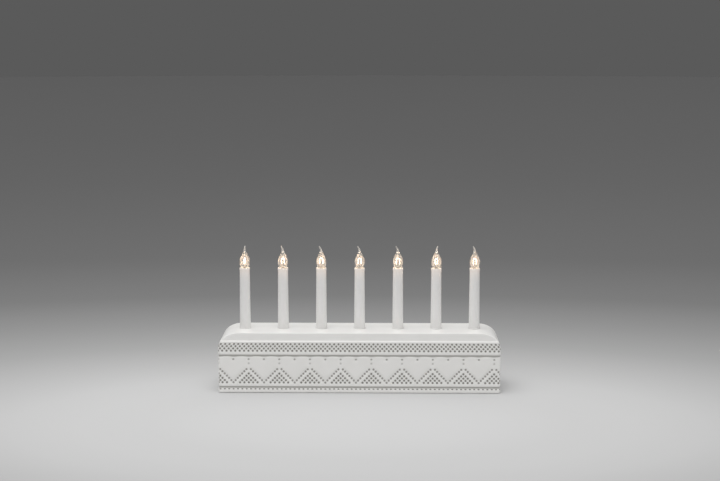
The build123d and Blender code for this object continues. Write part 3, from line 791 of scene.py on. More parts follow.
def close_body(piece):
    """Adds the underside, the hollow, the stud holes and the cord inlet's recess to the pressed walls."""
    form = bmesh.new()
    form.from_mesh(piece.data)
    bmesh.ops.delete(form, geom=[f for f in form.faces if by_the_inlet(f)], context="FACES")
    open_edges = [e for e in form.edges if e.is_boundary]
    foot = [e for e in open_edges if e.verts[0].co.z < RIM_EDGE * MM]
    roof = [e for e in open_edges if e.verts[0].co.z > SHOULDER * MM]
    inlet = [e for e in open_edges if e not in foot and e not in roof]

    holes = [round_loop(STUD_HOLE, (candle_x[k], 0, roof_top), sides=32) for k in CANDLES]
    upper = [loop_at(form, hole) for hole in holes]
    lower = [loop_at(form, [(x, y, roof_top - WALL) for x, y, z in hole]) for hole in holes]
    for (high, _), (low, _) in zip(upper, lower):
        skin(form, low, high, True)
    fill(form, roof, *[edges for _, edges in upper])

    loops = [loop_at(form, points) for points in hollow_levels()]
    fill(form, foot, loops[0][1])
    back_face = None
    for index, ((low, _), (high, _)) in enumerate(zip(loops, loops[1:])):
        for face in skin(form, low, high):
            if index == 2 and face.calc_center_median().y > (half_depth - WALL - 0.1) * MM:
                back_face = face
    fill(form, loops[-1][1], *[edges for _, edges in lower])

    mouth, mouth_edges = loop_at(form, round_loop(RECESS_RADIUS, (0, half_depth, INLET_HEIGHT), False))
    seat = (0, half_depth - RECESS_DEPTH, INLET_HEIGHT)
    rings = [loop_at(form, round_loop(radius, seat, False))[0] for radius in (RECESS_RADIUS, NECK_RADIUS)]
    neck_end = (0, half_depth - WALL, INLET_HEIGHT)
    inner, inner_edges = loop_at(form, round_loop(NECK_RADIUS, neck_end, False))
    skin(form, mouth, rings[0], True)
    skin(form, rings[0], rings[1])
    skin(form, rings[1], inner, True)
    fill(form, inlet, mouth_edges)
    back_edges = list(back_face.edges)
    form.faces.remove(back_face)
    fill(form, back_edges, inner_edges)
    bmesh.ops.remove_doubles(form, verts=form.verts, dist=1e-7)
    bmesh.ops.recalc_face_normals(form, faces=form.faces)
    for face in form.faces:
        face.material_index = 0
    open_left = sum(not e.is_manifold for e in form.edges)
    form.to_mesh(piece.data)
    form.free()
    return open_left


print("open edges:", close_body(ceramic))
ceramic.data.calc_loop_triangles()
print("body triangles:", len(ceramic.data.loop_triangles))
dress(ceramic, "bridge", "glazed_ceramic", "ceramic_body")

# %% [markdown]
# ## Candle feet and sleeves
#
# The feet and sleeves are injection moulded and all alike, so each is turned once and a geometry tree
# stands copies of it along the row. An array modifier would do as well. The tree is chosen because its
# inputs have names, the count, the first place and the pitch, and because it serves the feet and the
# sleeves alike. It ends in real meshes, so the seven feet are one mesh and the seven sleeves another.
#
# Their plastic is a plain satin white with hardly any texture. Near the rim the sleeve carries a faint
# warm glow painted in as emission, for the bulb's light that soaks into thin plastic, and that is what makes
# it look like plastic and not like paint.

# %% Plastic finishes
PAINTED_GLOW_COLOUR = "#ffc890"
PAINTED_GLOW_DEPTH = 24.0


def moulded_plastic(name, dark, light, shine, painted_glow_span=None, painted_glow=0.0):
    """Moulded white plastic. Between two heights it can carry a painted warm glow that stands for the lamp's
    light.
    """
    material = solid_finish(name, dark, light, shine, 6.0, 0.01, IOR=1.49)
    if painted_glow:
        tree, shader = parts_of(material)
        # Painted glow: emission that climbs to its full strength at the top of the span.
        painted_glow_fade = add(tree, "ShaderNodeMath", {0: climb(tree, *painted_glow_span), 1: 2.0}, operation="POWER")
        strength = add(tree, "ShaderNodeMath", {0: painted_glow_fade, 1: painted_glow}, operation="MULTIPLY")
        shader.inputs["Emission Color"].default_value = linear(PAINTED_GLOW_COLOUR)
        tree.links.new(strength.outputs[0], shader.inputs["Emission Strength"])
    return material


foot_plastic = moulded_plastic("moulded_foot_plastic", "#e6e5e2", "#edecea", (0.35, 0.45))
sleeve_plastic = moulded_plastic(
    "moulded_sleeve_plastic", "#ecebe9", "#f2f1f0", (0.38, 0.48), (rim - PAINTED_GLOW_DEPTH, rim), 0.15
)

# %% Geometry tree for a row


def row_tree():
    """The tree that stands copies of one piece along X."""
    sockets = [
        ("Count", "NodeSocketInt", 7),
        ("First Place", "NodeSocketVector", None),
        ("Pitch", "NodeSocketFloat", 55 * MM),
        ("Material", "NodeSocketMaterial", None),
    ]
    tree, given = new_geometry_tree("stand_in_a_row", sockets)
    step = add(tree, "ShaderNodeCombineXYZ", {"X": given["Pitch"]})
    places = {"Count": given["Count"], "Start Location": given["First Place"], "Offset": step}
    line = add(tree, "GeometryNodeMeshLine", places)
    copies = add(tree, "GeometryNodeInstanceOnPoints", {"Points": line, "Instance": given["Geometry"]})
    finish_tree(tree, copies, given["Material"])
    return tree


row = row_tree()
row_values = {
    "Count": len(CANDLES),
    "First Place": (candle_x[1] * MM, 0, 0),
    "Pitch": (candle_x[2] - candle_x[1]) * MM,
}

# %% Feet
# A foot is a ring: a stud that goes down through the roof, a flange on the roof and a spigot for the sleeve.
BORE, STUD_RADIUS, SPIGOT_RADIUS = 2.9, 4.4, 6.1
STUD_END, SPIGOT_TOP = roof_top - 14.5, flange_top + 8.0
foot_low, foot_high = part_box("candle_foot_1")
flange_radius = (foot_high.x - foot_low.x) / 2 / MM
foot_outline = [
    (BORE, STUD_END), (STUD_RADIUS - 0.2, STUD_END), (STUD_RADIUS, STUD_END + 0.3),
    (STUD_RADIUS, roof_top - 0.05), (STUD_RADIUS, roof_top), (flange_radius - 0.5, roof_top),
    (flange_radius - 0.45, roof_top + 0.25), (flange_radius, roof_top + 0.4),
    (flange_radius, flange_top - 0.6), (flange_radius - 0.18, flange_top - 0.18),
    (flange_radius - 0.6, flange_top), (SPIGOT_RADIUS, flange_top), (SPIGOT_RADIUS, SPIGOT_TOP - 0.6),
    (SPIGOT_RADIUS - 0.6, SPIGOT_TOP), (BORE + 0.1, SPIGOT_TOP), (BORE, SPIGOT_TOP - 0.1),
]
feet = point_outwards(make_piece("candle_feet", *turned(foot_outline, 48, closed=True)))
run_tree(feet, row, {**row_values, "Material": foot_plastic})
dress(feet, "bridge", "foot_plastic", *[f"candle_foot_{k}" for k in CANDLES])
print("feet:", len(feet.data.polygons), "faces")

# %% Sleeves
# A sleeve tapers up to a slightly flared, rounded rim. Inside, a ledge well below the rim carries the socket.
SLEEVE_BORE, LEDGE_IN, LEDGE_DEPTH = 6.2, 1.0, 22.0
LEDGE = rim - LEDGE_DEPTH
sleeve_outline = [
    (SLEEVE_BORE + 0.1, flange_top), (7.6, flange_top), (7.8, flange_top + 0.2), (7.62, flange_top + 22),
    (7.44, flange_top + 44), (7.26, flange_top + 64), (7.1, rim - 5.6), (7.12, rim - 4.4), (7.34, rim - 3.0),
    (7.4, rim - 2.4), (7.4, rim - 0.7), (7.3, rim - 0.25), (7.05, rim - 0.02), (6.8, rim), (6.5, rim - 0.06),
    (6.28, rim - 0.3), (SLEEVE_BORE, rim - 0.7), (SLEEVE_BORE, LEDGE), (SLEEVE_BORE - LEDGE_IN, LEDGE),
    (SLEEVE_BORE - LEDGE_IN, LEDGE - 1.5), (SLEEVE_BORE, LEDGE - 3.0), (SLEEVE_BORE, flange_top + 0.1),
]
sleeves = point_outwards(make_piece("candle_sleeves", *turned(sleeve_outline, 56, closed=True)))
run_tree(sleeves, row, {**row_values, "Material": sleeve_plastic})
dress(sleeves, "bridge", "sleeve_plastic", *[f"candle_sleeve_{k}" for k in CANDLES])
print("sleeves:", len(sleeves.data.polygons), "faces")

# %% [markdown]
# ## Bulbs
#
# Each bulb is blown glass with a drawn tail that leans its own way, a thin cap with a rolled thread, a
# black glass insulator with a solder tip and a coiled filament on two leads. Bulb and cap turn together on
# their own body, so every bulb has its own meshes. One closed skin would be simpler, but it would bend the
# light like a solid drop of glass. So the glass has a real wall: an outer skin, and an inner skin that
# faces the hollow.

# %% Skins of a blown bulb
# Sections are (radius, height) points in millimetres, with heights from the sleeve's rim.
GLASS_SECTION = ((5.6, 0.2), (6.65, 4.0), (7.25, 8.9), (6.75, 13.0), (5.5, 16.2), (3.9, 19.5), (2.0, 22.9))
GLASS_WALL, NECK, NECK_DEPTH, CAP_DEPTH = 0.6, 4.3, 11.0, 3.0
TAIL_ROOT, TAIL_LENGTH, TAIL_LEAN = 22.9, 8.5, 3.1
TAIL_SECTION = ((1.55, 25.0), (1.3, 26.7), (1.12, 28.5), (0.95, 29.9), (0.7, 30.9), (0.35, 31.3))
STEM_TOP, STEM_RADIUS = 1.2, 2.1


def smooth_between(a, b, c, d, t):
    """A number part of the way from b to c, on a smooth line that comes from a and goes on to d."""
    return 0.5 * (2 * b + (c - a) * t + (2 * a - 5 * b + 4 * c - d) * t**2 + (3 * b - a - 3 * c + d) * t**3)


def through(points, steps=4):
    """A smooth open line through (radius, height) points, with so many steps between each two."""
    ends = [points[0], *points, points[-1]]
    line = []
    for four in zip(ends, ends[1:], ends[2:], ends[3:]):
        for k in range(steps):
            line.append(tuple(smooth_between(*numbers, k / steps) for numbers in zip(*four)))
    return line + [points[-1]]


def tail_shift(height):
    """How far the drawn tail leans at a height above the floor."""
    over = max(0.0, height - rim - TAIL_ROOT) / TAIL_LENGTH
    return TAIL_LEAN * over**2


def glass_skins():
    """The outlines of a bulb's outer and inner skin."""
    outer = [(0, -NECK_DEPTH), (NECK - 0.5, -NECK_DEPTH), (NECK, 0.5 - NECK_DEPTH)]
    outer += through([(NECK, -CAP_DEPTH), *GLASS_SECTION])
    outer += [*TAIL_SECTION, (0, TAIL_ROOT + TAIL_LENGTH)]
    inner = [(0, STEM_TOP), (STEM_RADIUS - 0.6, STEM_TOP - 0.1), (STEM_RADIUS, STEM_TOP - 0.8)]
    inner += [(STEM_RADIUS + 0.5, 1.0 - NECK_DEPTH), (NECK - GLASS_WALL - 0.2, 0.7 - NECK_DEPTH)]
    flank = through([(NECK, -CAP_DEPTH), *GLASS_SECTION[:-1]])
    inner += [(radius - GLASS_WALL, height) for radius, height in flank]
    inner += [(2.2, flank[-1][1] + 0.9), (0, flank[-1][1] + 1.2)]
    return [[(radius, rim + height) for radius, height in skin_line] for skin_line in (outer, inner)]


print("bulb:", [len(skin_line) for skin_line in glass_skins()], "points in its outer and inner outline")

# %% Clear blown glass
# A clear bulb is read by its bright edges, its tail and a breath of haze that catches the filament's light.
GLASS_HAZE, TAIL_HAZE = 0.12, 0.4
HAZE_SPAN = (rim + TAIL_ROOT - 2.0, rim + TAIL_ROOT + 2.0)


def blown_glass():
    """Clear glass with a faint ripple and a little haze, and more haze where the tail was drawn."""
    material, tree = new_material("clear_blown_glass")
    waves = {"Height": grain(tree, 9.0, 1.0), "Strength": 1.0, "Distance": 0.05 * MM}
    ripple = add(tree, "ShaderNodeBump", waves)
    clear = {"Base Color": linear("#fdfcf9"), "Roughness": 0.02, "IOR": 1.47, "Transmission Weight": 1.0}
    wall = add(tree, "ShaderNodeBsdfPrincipled", {**clear, "Normal": ripple})
    milky = add(tree, "ShaderNodeBsdfDiffuse", {"Color": linear("#fffaf3")})
    lit_through = add(tree, "ShaderNodeBsdfTranslucent", {"Color": linear("#fffaf3")})
    veil = add(tree, "ShaderNodeMixShader", {0: 0.5, 1: milky, 2: lit_through})
    haze = climb(tree, *HAZE_SPAN, GLASS_HAZE, TAIL_HAZE)
    hazy = add(tree, "ShaderNodeMixShader", {0: haze, 1: wall, 2: veil})
    shadow = add(tree, "ShaderNodeLightPath").outputs["Is Shadow Ray"]
    pale_shadow = add(tree, "ShaderNodeBsdfTransparent", {"Color": linear("#fbf8f2")})
    mixed = add(tree, "ShaderNodeMixShader", {0: shadow, 1: hazy, 2: pale_shadow})
    add(tree, "ShaderNodeOutputMaterial", {"Surface": mixed})
    print("finish:", material.name)
    return material


# %% Bulb glasses
# Each tail leans its own way, given in degrees round the candle from the right.
TAIL_WAYS = (78, 152, 174, 206, 181, 52, 146)

glass = blown_glass()
outer, inner = glass_skins()
outer_points, glass_faces = turned(outer, 40, lean=tail_shift)
inner_points, inner_faces = turned(inner, 40)
glass_faces += [tuple(len(outer_points) + v for v in reversed(face)) for face in inner_faces]
for k in CANDLES:
    bulb = make_piece(f"bulb_glass_skin_{k}", outer_points + inner_points, glass_faces, glass)
    move_into_place(bulb, (candle_x[k] * MM, 0, 0), math.radians(TAIL_WAYS[k - 1]))
    dress(bulb, f"bulb_{k}", "bulb_glass", f"bulb_glass_{k}")
print("one bulb:", len(bulb.data.polygons), "faces")

# %% [markdown]
# ## Cap with its rolled thread
#
# The thread is rolled into thin sheet, so the wall stays as thick as before and only waves in and out. A
# swept helix could cut a thread, but it would end in a step and leave the inside plain. The tree moves each
# point of a dense plain cap along its radius by a wave that climbs one pitch a turn and dies out at both
# ends.

# %% Geometry tree for the thread
CAP_RADIUS, CAP_WALL, CAP_LENGTH, THREAD_PITCH = 4.77, 0.3, 11.5, 1.814
cap_top, cap_bottom = rim - CAP_DEPTH, rim - CAP_DEPTH - CAP_LENGTH


def thread_tree():
    """The tree that rolls a thread into a turned cap on the Z axis."""
    sockets = [
        ("Pitch", "NodeSocketFloat", THREAD_PITCH * MM),
        ("Depth", "NodeSocketFloat", 0.3 * MM),
        ("Thread Foot", "NodeSocketFloat", (cap_bottom + 0.8) * MM),
        ("Thread End", "NodeSocketFloat", (cap_top - 1.6) * MM),
        ("Material", "NodeSocketMaterial", None),
    ]
    tree, given = new_geometry_tree("roll_thread", sockets)
    place = add(tree, "ShaderNodeSeparateXYZ", {0: add(tree, "GeometryNodeInputPosition")}).outputs
    way = add(tree, "ShaderNodeMath", {0: place["Y"], 1: place["X"]}, operation="ARCTAN2")
    turns = add(tree, "ShaderNodeMath", {0: way, 1: 2 * math.pi}, operation="DIVIDE")
    pitches = add(tree, "ShaderNodeMath", {0: place["Z"], 1: given["Pitch"]}, operation="DIVIDE")
    phase = add(tree, "ShaderNodeMath", {0: pitches, 1: turns}, operation="SUBTRACT")
    angle = add(tree, "ShaderNodeMath", {0: phase, 1: 2 * math.pi}, operation="MULTIPLY")
    wave = add(tree, "ShaderNodeMath", {0: angle}, operation="COSINE")
    inward = add(tree, "ShaderNodeMath", {0: wave, 1: 1.0}, operation="SUBTRACT")
    deep = add(tree, "ShaderNodeMath", {0: inward, 1: given["Depth"]}, operation="MULTIPLY")
    push = add(tree, "ShaderNodeMath", {0: deep, 1: 0.5}, operation="MULTIPLY")
    for upper, lower in ((place["Z"], given["Thread Foot"]), (given["Thread End"], place["Z"])):
        over = add(tree, "ShaderNodeMath", {0: upper, 1: lower}, operation="SUBTRACT")
        span = {"Value": over, "From Max": THREAD_PITCH * MM}
        fade = add(tree, "ShaderNodeMapRange", span, interpolation_type="SMOOTHSTEP")
        push = add(tree, "ShaderNodeMath", {0: push, 1: fade}, operation="MULTIPLY")
    flat = add(tree, "ShaderNodeCombineXYZ", {"X": place["X"], "Y": place["Y"]})
    outward = add(tree, "ShaderNodeVectorMath", {0: flat}, operation="NORMALIZE")
    shift = add(tree, "ShaderNodeVectorMath", {0: outward, "Scale": push}, operation="SCALE")
    moved = add(tree, "GeometryNodeSetPosition", {"Geometry": given["Geometry"], "Offset": shift})
    finish_tree(tree, moved, given["Material"])
    return tree


roll = thread_tree()

# %% Caps
# Nickel over drawn brass is a warm grey metal. Its shine varies in short streaks along the way it was drawn.
CAP_MOUTH, RING_STEP, RING_COUNT = 3.4, 0.33, 34

nickel = solid_finish(
    "nickel_plated_brass", "#b9b4a8", "#cfcbc2", (0.22, 0.34), 1.2, 0.004, stretch=(1, 1, 4), Metallic=1.0
)
rings = [cap_bottom + 0.3 + RING_STEP * k for k in range(RING_COUNT)]
cap_outline = [(CAP_MOUTH, cap_bottom), (4.45, cap_bottom), (4.7, cap_bottom + 0.12)]
cap_outline += [(CAP_RADIUS, z) for z in rings] + [(CAP_RADIUS, cap_top - 0.05), (CAP_RADIUS - 0.05, cap_top)]
cap_outline += [(CAP_RADIUS - CAP_WALL, cap_top)] + [(CAP_RADIUS - CAP_WALL, z) for z in reversed(rings)]
cap_outline += [(CAP_MOUTH, cap_bottom + CAP_WALL)]
for k in CANDLES:
    cap = point_outwards(make_piece(f"bulb_cap_skin_{k}", *turned(cap_outline, 36, closed=True)))
    run_tree(cap, roll, {"Material": nickel})
    move_into_place(cap, (candle_x[k] * MM, 0, 0))
    dress(cap, f"bulb_{k}", "nickelled_brass", f"bulb_cap_{k}")
print("one cap:", len(cap.data.polygons), "faces")

# %% [markdown]
# ## Filament
#
# The filament is tungsten wire wound to a fine coil and bent over as a hoop. Its points could be written
# out by a loop, but a coil that follows a bent line needs the line's direction at every point, and a tree
# knows it. It takes a bare hoop of edges, spaces points along it, swings each point round the hoop's own
# line, and sweeps a thin round wire along the coil. The two leads that carry the hoop are plain nickel
# wires.

# %% Geometry tree for the coil


def coil_tree():
    """The tree that winds a coil along a path of edges."""
    sockets = [
        ("Turns", "NodeSocketInt", 46),
        ("Points Per Turn", "NodeSocketInt", 10),
        ("Coil Radius", "NodeSocketFloat", 0.28 * MM),
        ("Wire Radius", "NodeSocketFloat", 0.08 * MM),
        ("Material", "NodeSocketMaterial", None),
    ]
    tree, given = new_geometry_tree("wind_coil", sockets)
    path = add(tree, "GeometryNodeMeshToCurve", {"Mesh": given["Geometry"]})
    points = given["Points Per Turn"]
    count = add(tree, "ShaderNodeMath", {0: given["Turns"], 1: points}, operation="MULTIPLY")
    spaced = add(tree, "GeometryNodeResampleCurve", {"Curve": path, "Count": count}, mode="COUNT")
    index = add(tree, "GeometryNodeInputIndex")
    turn = add(tree, "ShaderNodeMath", {0: index, 1: points}, operation="DIVIDE")
    angle = add(tree, "ShaderNodeMath", {0: turn, 1: 2 * math.pi}, operation="MULTIPLY")
    tangent = add(tree, "GeometryNodeInputTangent")
    arm = add(tree, "ShaderNodeCombineXYZ", {"Y": given["Coil Radius"]})
    swung = add(tree, "ShaderNodeVectorRotate", {"Vector": arm, "Axis": tangent, "Angle": angle})
    wound = add(tree, "GeometryNodeSetPosition", {"Geometry": spaced, "Offset": swung})
    ring = add(tree, "GeometryNodeCurvePrimitiveCircle", {"Resolution": 5, "Radius": given["Wire Radius"]})
    wire = add(tree, "GeometryNodeCurveToMesh", {"Curve": wound, "Profile Curve": ring, "Fill Caps": True})
    finish_tree(tree, wire, given["Material"])
    return tree


wind = coil_tree()

# %% Glowing tungsten and the leads' wire
FILAMENT_LIGHT = 42.0


def glowing_tungsten():
    """Tungsten wire at working heat, the brightest thing on the object and a little cooler in spots."""
    material = solid_finish("glowing_tungsten", "#5a5248", "#6b6258", (0.4, 0.5), 0.4, Metallic=1.0)
    tree, shader = parts_of(material)
    levels = {"Value": grain(tree, 0.8), "To Min": FILAMENT_LIGHT * 0.85, "To Max": FILAMENT_LIGHT * 1.15}
    heat = add(tree, "ShaderNodeMapRange", levels)
    shader.inputs["Emission Color"].default_value = linear("#ffe2cb")
    tree.links.new(heat.outputs[0], shader.inputs["Emission Strength"])
    return material


def tube(line, radius, sides=8):
    """Points and faces of a closed round wire along points in millimetres that lie in the XZ plane."""
    line = [Vector(point) for point in line]
    across = Vector((0, 1, 0))
    points, faces = [], []
    for k, point in enumerate(line):
        course = (line[min(k + 1, len(line) - 1)] - line[max(k - 1, 0)]).normalized()
        other = course.cross(across).normalized()
        for side in range(sides):
            turn = 2 * math.pi * side / sides
            points.append(tuple((point + radius * (math.cos(turn) * across + math.sin(turn) * other)) * MM))
    for k in range(len(line) - 1):
        low, high = k * sides, (k + 1) * sides
        for side in range(sides):
            after = (side + 1) % sides
            faces.append((low + side, low + after, high + after, high + side))
    faces.append(tuple(reversed(range(sides))))
    faces.append(tuple(range((len(line) - 1) * sides, len(line) * sides)))
    return points, faces


tungsten = glowing_tungsten()

# %% Filaments and their leads
HOOP_HALF, HOOP_FOOT, HOOP_TOP, HOOP_STEPS = 2.4, 5.6, 13.8, 12
LEAD_GAP, LEAD_RADIUS = 1.0, 0.2
LEAD_ROUTE = (
    (LEAD_GAP, -12.4), (LEAD_GAP, 0.6), (LEAD_GAP + 0.2, 2.2), (HOOP_HALF - 0.3, 4.8), (HOOP_HALF, 6.0)
)

hoop = [(-HOOP_HALF, 0, rim + HOOP_FOOT)]
for step in range(HOOP_STEPS + 1):
    turn = math.pi - math.pi * step / HOOP_STEPS
    hoop.append((HOOP_HALF * math.cos(turn), 0, rim + HOOP_TOP - HOOP_HALF + HOOP_HALF * math.sin(turn)))
hoop.append((HOOP_HALF, 0, rim + HOOP_FOOT))
hoop_points = [[c * MM for c in point] for point in hoop]
hoop_edges = [(n, n + 1) for n in range(len(hoop) - 1)]
lead_points, lead_faces = [], []
for side in (-1, 1):
    more_points, more_faces = tube([(side * x, 0, rim + z) for x, z in LEAD_ROUTE], LEAD_RADIUS)
    lead_faces += [tuple(v + len(lead_points) for v in face) for face in more_faces]
    lead_points += more_points
for k in CANDLES:
    place, turn = (candle_x[k] * MM, 0, 0), math.radians(TAIL_WAYS[k - 1])
    coil_mesh = bpy.data.meshes.new(f"filament_coil_{k}")
    coil_mesh.from_pydata(hoop_points, hoop_edges, [])
    coil = bpy.data.objects.new(f"filament_coil_{k}", coil_mesh)
    bpy.context.scene.collection.objects.link(coil)
    run_tree(coil, wind, {"Material": tungsten})
    point_outwards(coil)
    move_into_place(coil, place, turn)
    dress(coil, f"bulb_{k}", "filament", f"filament_{k}")
    leads = point_outwards(make_piece(f"filament_leads_{k}", lead_points, lead_faces, nickel))
    move_into_place(leads, place, turn)
    dress(leads, f"bulb_{k}", "filament")
print("one coil:", len(coil.data.polygons), "faces")

# %% [markdown]
# ## Felt pads
#
# Four discs of pressed wool felt keep the glazed rim off the window sill. Felt has no thread: its edge
# shows loose fibres. Hair could stand for them, but it isn't part of a mesh. The tree takes one pad,
# scatters short tapered fibres over its edge with a fixed seed, and stands copies of the whole on the four
# corners of a grid.

# %% Geometry tree for the felt
PAD_RADIUS, FIBRE_LENGTH, FIBRE_TILT = 6.0, 0.4, 0.5
EDGE_SLOPE, FIBRE_FOOT = 0.5, 0.35  # fibres grow where a face is this steep, from this height upwards
felt_high = box_of("felt_feet")[1]


def felt_tree():
    """The tree that roughs up the edge of one pad and stands it at four corners."""
    sockets = [
        ("Length Between", "NodeSocketFloat", 2 * (felt_high.x - PAD_RADIUS) * MM),
        ("Depth Between", "NodeSocketFloat", 2 * (felt_high.y - PAD_RADIUS) * MM),
        ("Fibres Per Square Metre", "NodeSocketFloat", 1.6e7),
        ("Fibre Length", "NodeSocketFloat", FIBRE_LENGTH * MM),
        ("Seed", "NodeSocketInt", 4),
        ("Material", "NodeSocketMaterial", None),
    ]
    tree, given = new_geometry_tree("rough_felt_pads", sockets)
    level = add(tree, "ShaderNodeSeparateXYZ", {0: add(tree, "GeometryNodeInputPosition")}).outputs["Z"]
    slope = add(tree, "ShaderNodeSeparateXYZ", {0: add(tree, "GeometryNodeInputNormal")}).outputs["Z"]
    upright = add(tree, "FunctionNodeCompare", {0: slope, 1: EDGE_SLOPE}, operation="LESS_THAN")
    off_floor = add(tree, "FunctionNodeCompare", {0: level, 1: FIBRE_FOOT * MM}, operation="GREATER_THAN")
    edge = add(tree, "FunctionNodeBooleanMath", {0: upright, 1: off_floor}, operation="AND")
    where = {"Mesh": given["Geometry"], "Selection": edge, "Density": given["Fibres Per Square Metre"]}
    scattered = add(tree, "GeometryNodeDistributePointsOnFaces", {**where, "Seed": given["Seed"]}).outputs
    ends = {0: (-FIBRE_TILT, -FIBRE_TILT, 0), 1: (FIBRE_TILT, FIBRE_TILT, 2 * math.pi), "Seed": given["Seed"]}
    tilt = add(tree, "FunctionNodeRandomValue", ends, data_type="FLOAT_VECTOR")
    tilted = {"Rotation": scattered["Rotation"], "Rotate By": tilt}
    turn = add(tree, "FunctionNodeRotateRotation", tilted, rotation_space="LOCAL")
    shape = {"Vertices": 3, "Radius Top": 0.01 * MM, "Radius Bottom": 0.04 * MM}
    fibre = add(tree, "GeometryNodeMeshCone", {**shape, "Depth": given["Fibre Length"]})
    stood = {"Points": scattered["Points"], "Instance": fibre, "Rotation": turn}
    fibres = add(tree, "GeometryNodeInstanceOnPoints", stood)
    joined = add(tree, "GeometryNodeJoinGeometry")
    for geometry in (given["Geometry"], fibres.outputs[0]):
        tree.links.new(geometry, joined.inputs[0])
    sizes = {"Size X": given["Length Between"], "Size Y": given["Depth Between"]}
    corners = add(tree, "GeometryNodeMeshGrid", {**sizes, "Vertices X": 2, "Vertices Y": 2})
    pads = add(tree, "GeometryNodeInstanceOnPoints", {"Points": corners, "Instance": joined})
    finish_tree(tree, pads, given["Material"])
    return tree


# %% Felt pads
# Felt swallows the light: no shine, a soft sheen at its edge, and paler fibres that lie both ways.
SPECK_EDGE = 0.06


def specked(material, size, share, code, stretch=(1, 1, 1)):
    """Adds specks or fibres of another colour. A higher share leaves more of the surface plain."""
    tree = material.node_tree
    edges = {"Value": grain(tree, size, 2.0, stretch), "From Min": share, "From Max": share + SPECK_EDGE}
    tinted(material, add(tree, "ShaderNodeMapRange", edges), code)


felt = solid_finish(
    "pressed_wool_felt", "#2b2b29", "#3d3c39", (0.85, 1.0), 0.9, 0.12, Sheen_Weight=0.5, Sheen_Roughness=0.4
)
specked(felt, 0.25, 0.6, "#6a6863", stretch=(6, 1, 1))
specked(felt, 0.25, 0.62, "#55534f", stretch=(1, 6, 1))
pad_top = felt_high.z
pad_outline = [
    (0, 0), (PAD_RADIUS - 0.3, 0), (PAD_RADIUS - 0.05, 0.12), (PAD_RADIUS, 0.3), (PAD_RADIUS, 0.75),
    (PAD_RADIUS - 0.08, pad_top - 0.06), (PAD_RADIUS - 0.3, pad_top), (0, pad_top),
]
pads = point_outwards(make_piece("felt_pads", *turned(pad_outline, 40)))
run_tree(pads, felt_tree(), {"Material": felt})
dress(pads, "bridge", "felt", "felt_feet")
print("felt pads:", len(pads.data.polygons), "faces")

# %% [markdown]
# ## Board, metal, fibre and wire
#
# The solids under the cover and inside the sleeves could be modelled once more, but they already have their
# real shapes, so they stay and only take a finish. All these finishes come from the same base, with sizes
# of grain taken from the real material. A note on each says what it gives the eye.

# %% Finishes for the solids that stay


def keep_solids(material, *names):
    """Gives solids that keep their own shape a finish, in their objects' material slots."""
    for name in names:
        solid = frame["nodes"][name]
        for holder in solid.material_slots:
            holder.material = material
        if not solid.material_slots:
            solid.data.materials.append(material)
    print(material.name, "on", len(names), "solids")


# Hardboard is dull and brown, with long pale fibres and dark specks.
hardboard = solid_finish("pressed_hardboard", "#5d432b", "#7a5b3e", (0.5, 0.7), 7.0, 0.05, stretch=(4, 1, 1))
specked(hardboard, 0.5, 0.6, "#97775a", stretch=(7, 1, 1))
specked(hardboard, 0.8, 0.64, "#38281a", stretch=(2, 1, 1))
keep_solids(hardboard, "base_cover")

# %% Metals
# Zinc plating is a cool grey, with small spangles that shine unevenly.
zinc = solid_finish("zinc_plated_steel", "#a3a5a6", "#c6c8c8", (0.24, 0.42), 0.9, 0.006, Metallic=1.0)
keep_solids(zinc, "cover_screws", "terminal_screws", "holder_nuts")

# Stamped brass is yellow, with drawn lines along its height and darker tarnished spots.
brass = solid_finish(
    "stamped_brass", "#ab8442", "#cda760", (0.2, 0.34), 0.6, 0.004, stretch=(1, 1, 6), Metallic=1.0
)
specked(brass, 1.4, 0.66, "#8c6a35")
keep_solids(brass, "terminal_inserts", "socket_shells", "socket_contacts")

# %% Fibre and plastics
# Vulcanised fibre is a hard, dull red board with short paler streaks.
fibre = solid_finish("vulcanised_fibre", "#6f2b1f", "#87402f", (0.5, 0.68), 1.6, 0.02, stretch=(3, 1, 1))
specked(fibre, 0.4, 0.62, "#a35c48", stretch=(4, 1, 1))
keep_solids(fibre, "holder_washers")

# Nylon is cream white and a little milky, because light goes a short way into it.
nylon = solid_finish(
    "moulded_nylon", "#d5d2c6", "#e2dfd6", (0.42, 0.55), 3.0, 0.015,
    IOR=1.53, Subsurface_Weight=0.15, Subsurface_Scale=1.0 * MM,
)
keep_solids(nylon, "cover_anchors", "terminal_block")
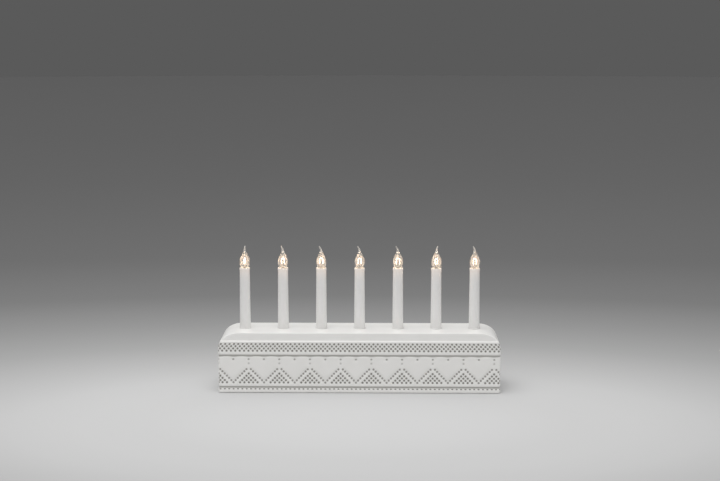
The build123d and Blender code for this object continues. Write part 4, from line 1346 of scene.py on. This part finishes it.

# The sockets' upper ends carry a faint painted glow for the bulbs' light, as the sleeves do.
socket_plastic = moulded_plastic(
    "moulded_socket_plastic", "#dedbd2", "#e8e5dd", (0.42, 0.55), (LEDGE, rim - 4), 0.12
)
keep_solids(socket_plastic, "socket_bodies")

# %% Rubber and wire
# Rubber is matt and slightly dusty, which sets the grommet off from the glaze round it.
rubber = solid_finish(
    "moulded_white_rubber", "#cfccc4", "#dcdad3", (0.62, 0.78), 2.2, 0.03, Sheen_Weight=0.15
)
keep_solids(rubber, "cord_grommet")

# A drawn vinyl sheath is smooth, with a clear shine that runs along the wire.
vinyl = solid_finish(
    "drawn_vinyl_sheath", "#d8d5cd", "#e6e4dd", (0.28, 0.4), 5.0, 0.01, stretch=(5, 1, 1), IOR=1.53
)
keep_solids(vinyl, "lead_left", "lead_right", "link_wires")

# %% [markdown]
# ## Black glass and a drop of solder
#
# The foot of each cap is a cone of black glass with a drop of solder on its tip. Two finishes on one solid
# would need its faces sorted. Glass and solder are fused in one solid here, so one finish changes from the
# one to the other at the height where the tip begins.

# %% The cap's foot
TIP_TOP = box_of("bulb_contact_1")[1].z - 1.65


def glass_and_solder():
    """Black glass above the tip's height, dull tin solder below it."""
    material = solid_finish("black_glass_with_solder_tip", "#0b0b0c", "#17171a", (0.06, 0.14), 2.0)
    tree, black_glass = parts_of(material)
    above_tip = climb(tree, TIP_TOP - 0.05, TIP_TOP + 0.05)
    spots = grain(tree, 0.5)
    tin = add(tree, "ShaderNodeMix", {0: spots, 6: linear("#8f9092"), 7: linear("#b3b4b5")}, data_type="RGBA")
    rough = add(tree, "ShaderNodeMapRange", {"Value": spots, "To Min": 0.3, "To Max": 0.5})
    dents = add(tree, "ShaderNodeBump", {"Height": spots, "Strength": 1.0, "Distance": 0.02 * MM})
    looks = {"Base Color": tin.outputs[2], "Roughness": rough, "Metallic": 1.0, "Normal": dents}
    solder = add(tree, "ShaderNodeBsdfPrincipled", looks)
    both = add(tree, "ShaderNodeMixShader", {0: above_tip, 1: solder, 2: black_glass})
    tree.links.new(both.outputs[0], tree.nodes["Material Output"].inputs["Surface"])
    return material


keep_solids(glass_and_solder(), *[f"bulb_contact_{k}" for k in CANDLES])
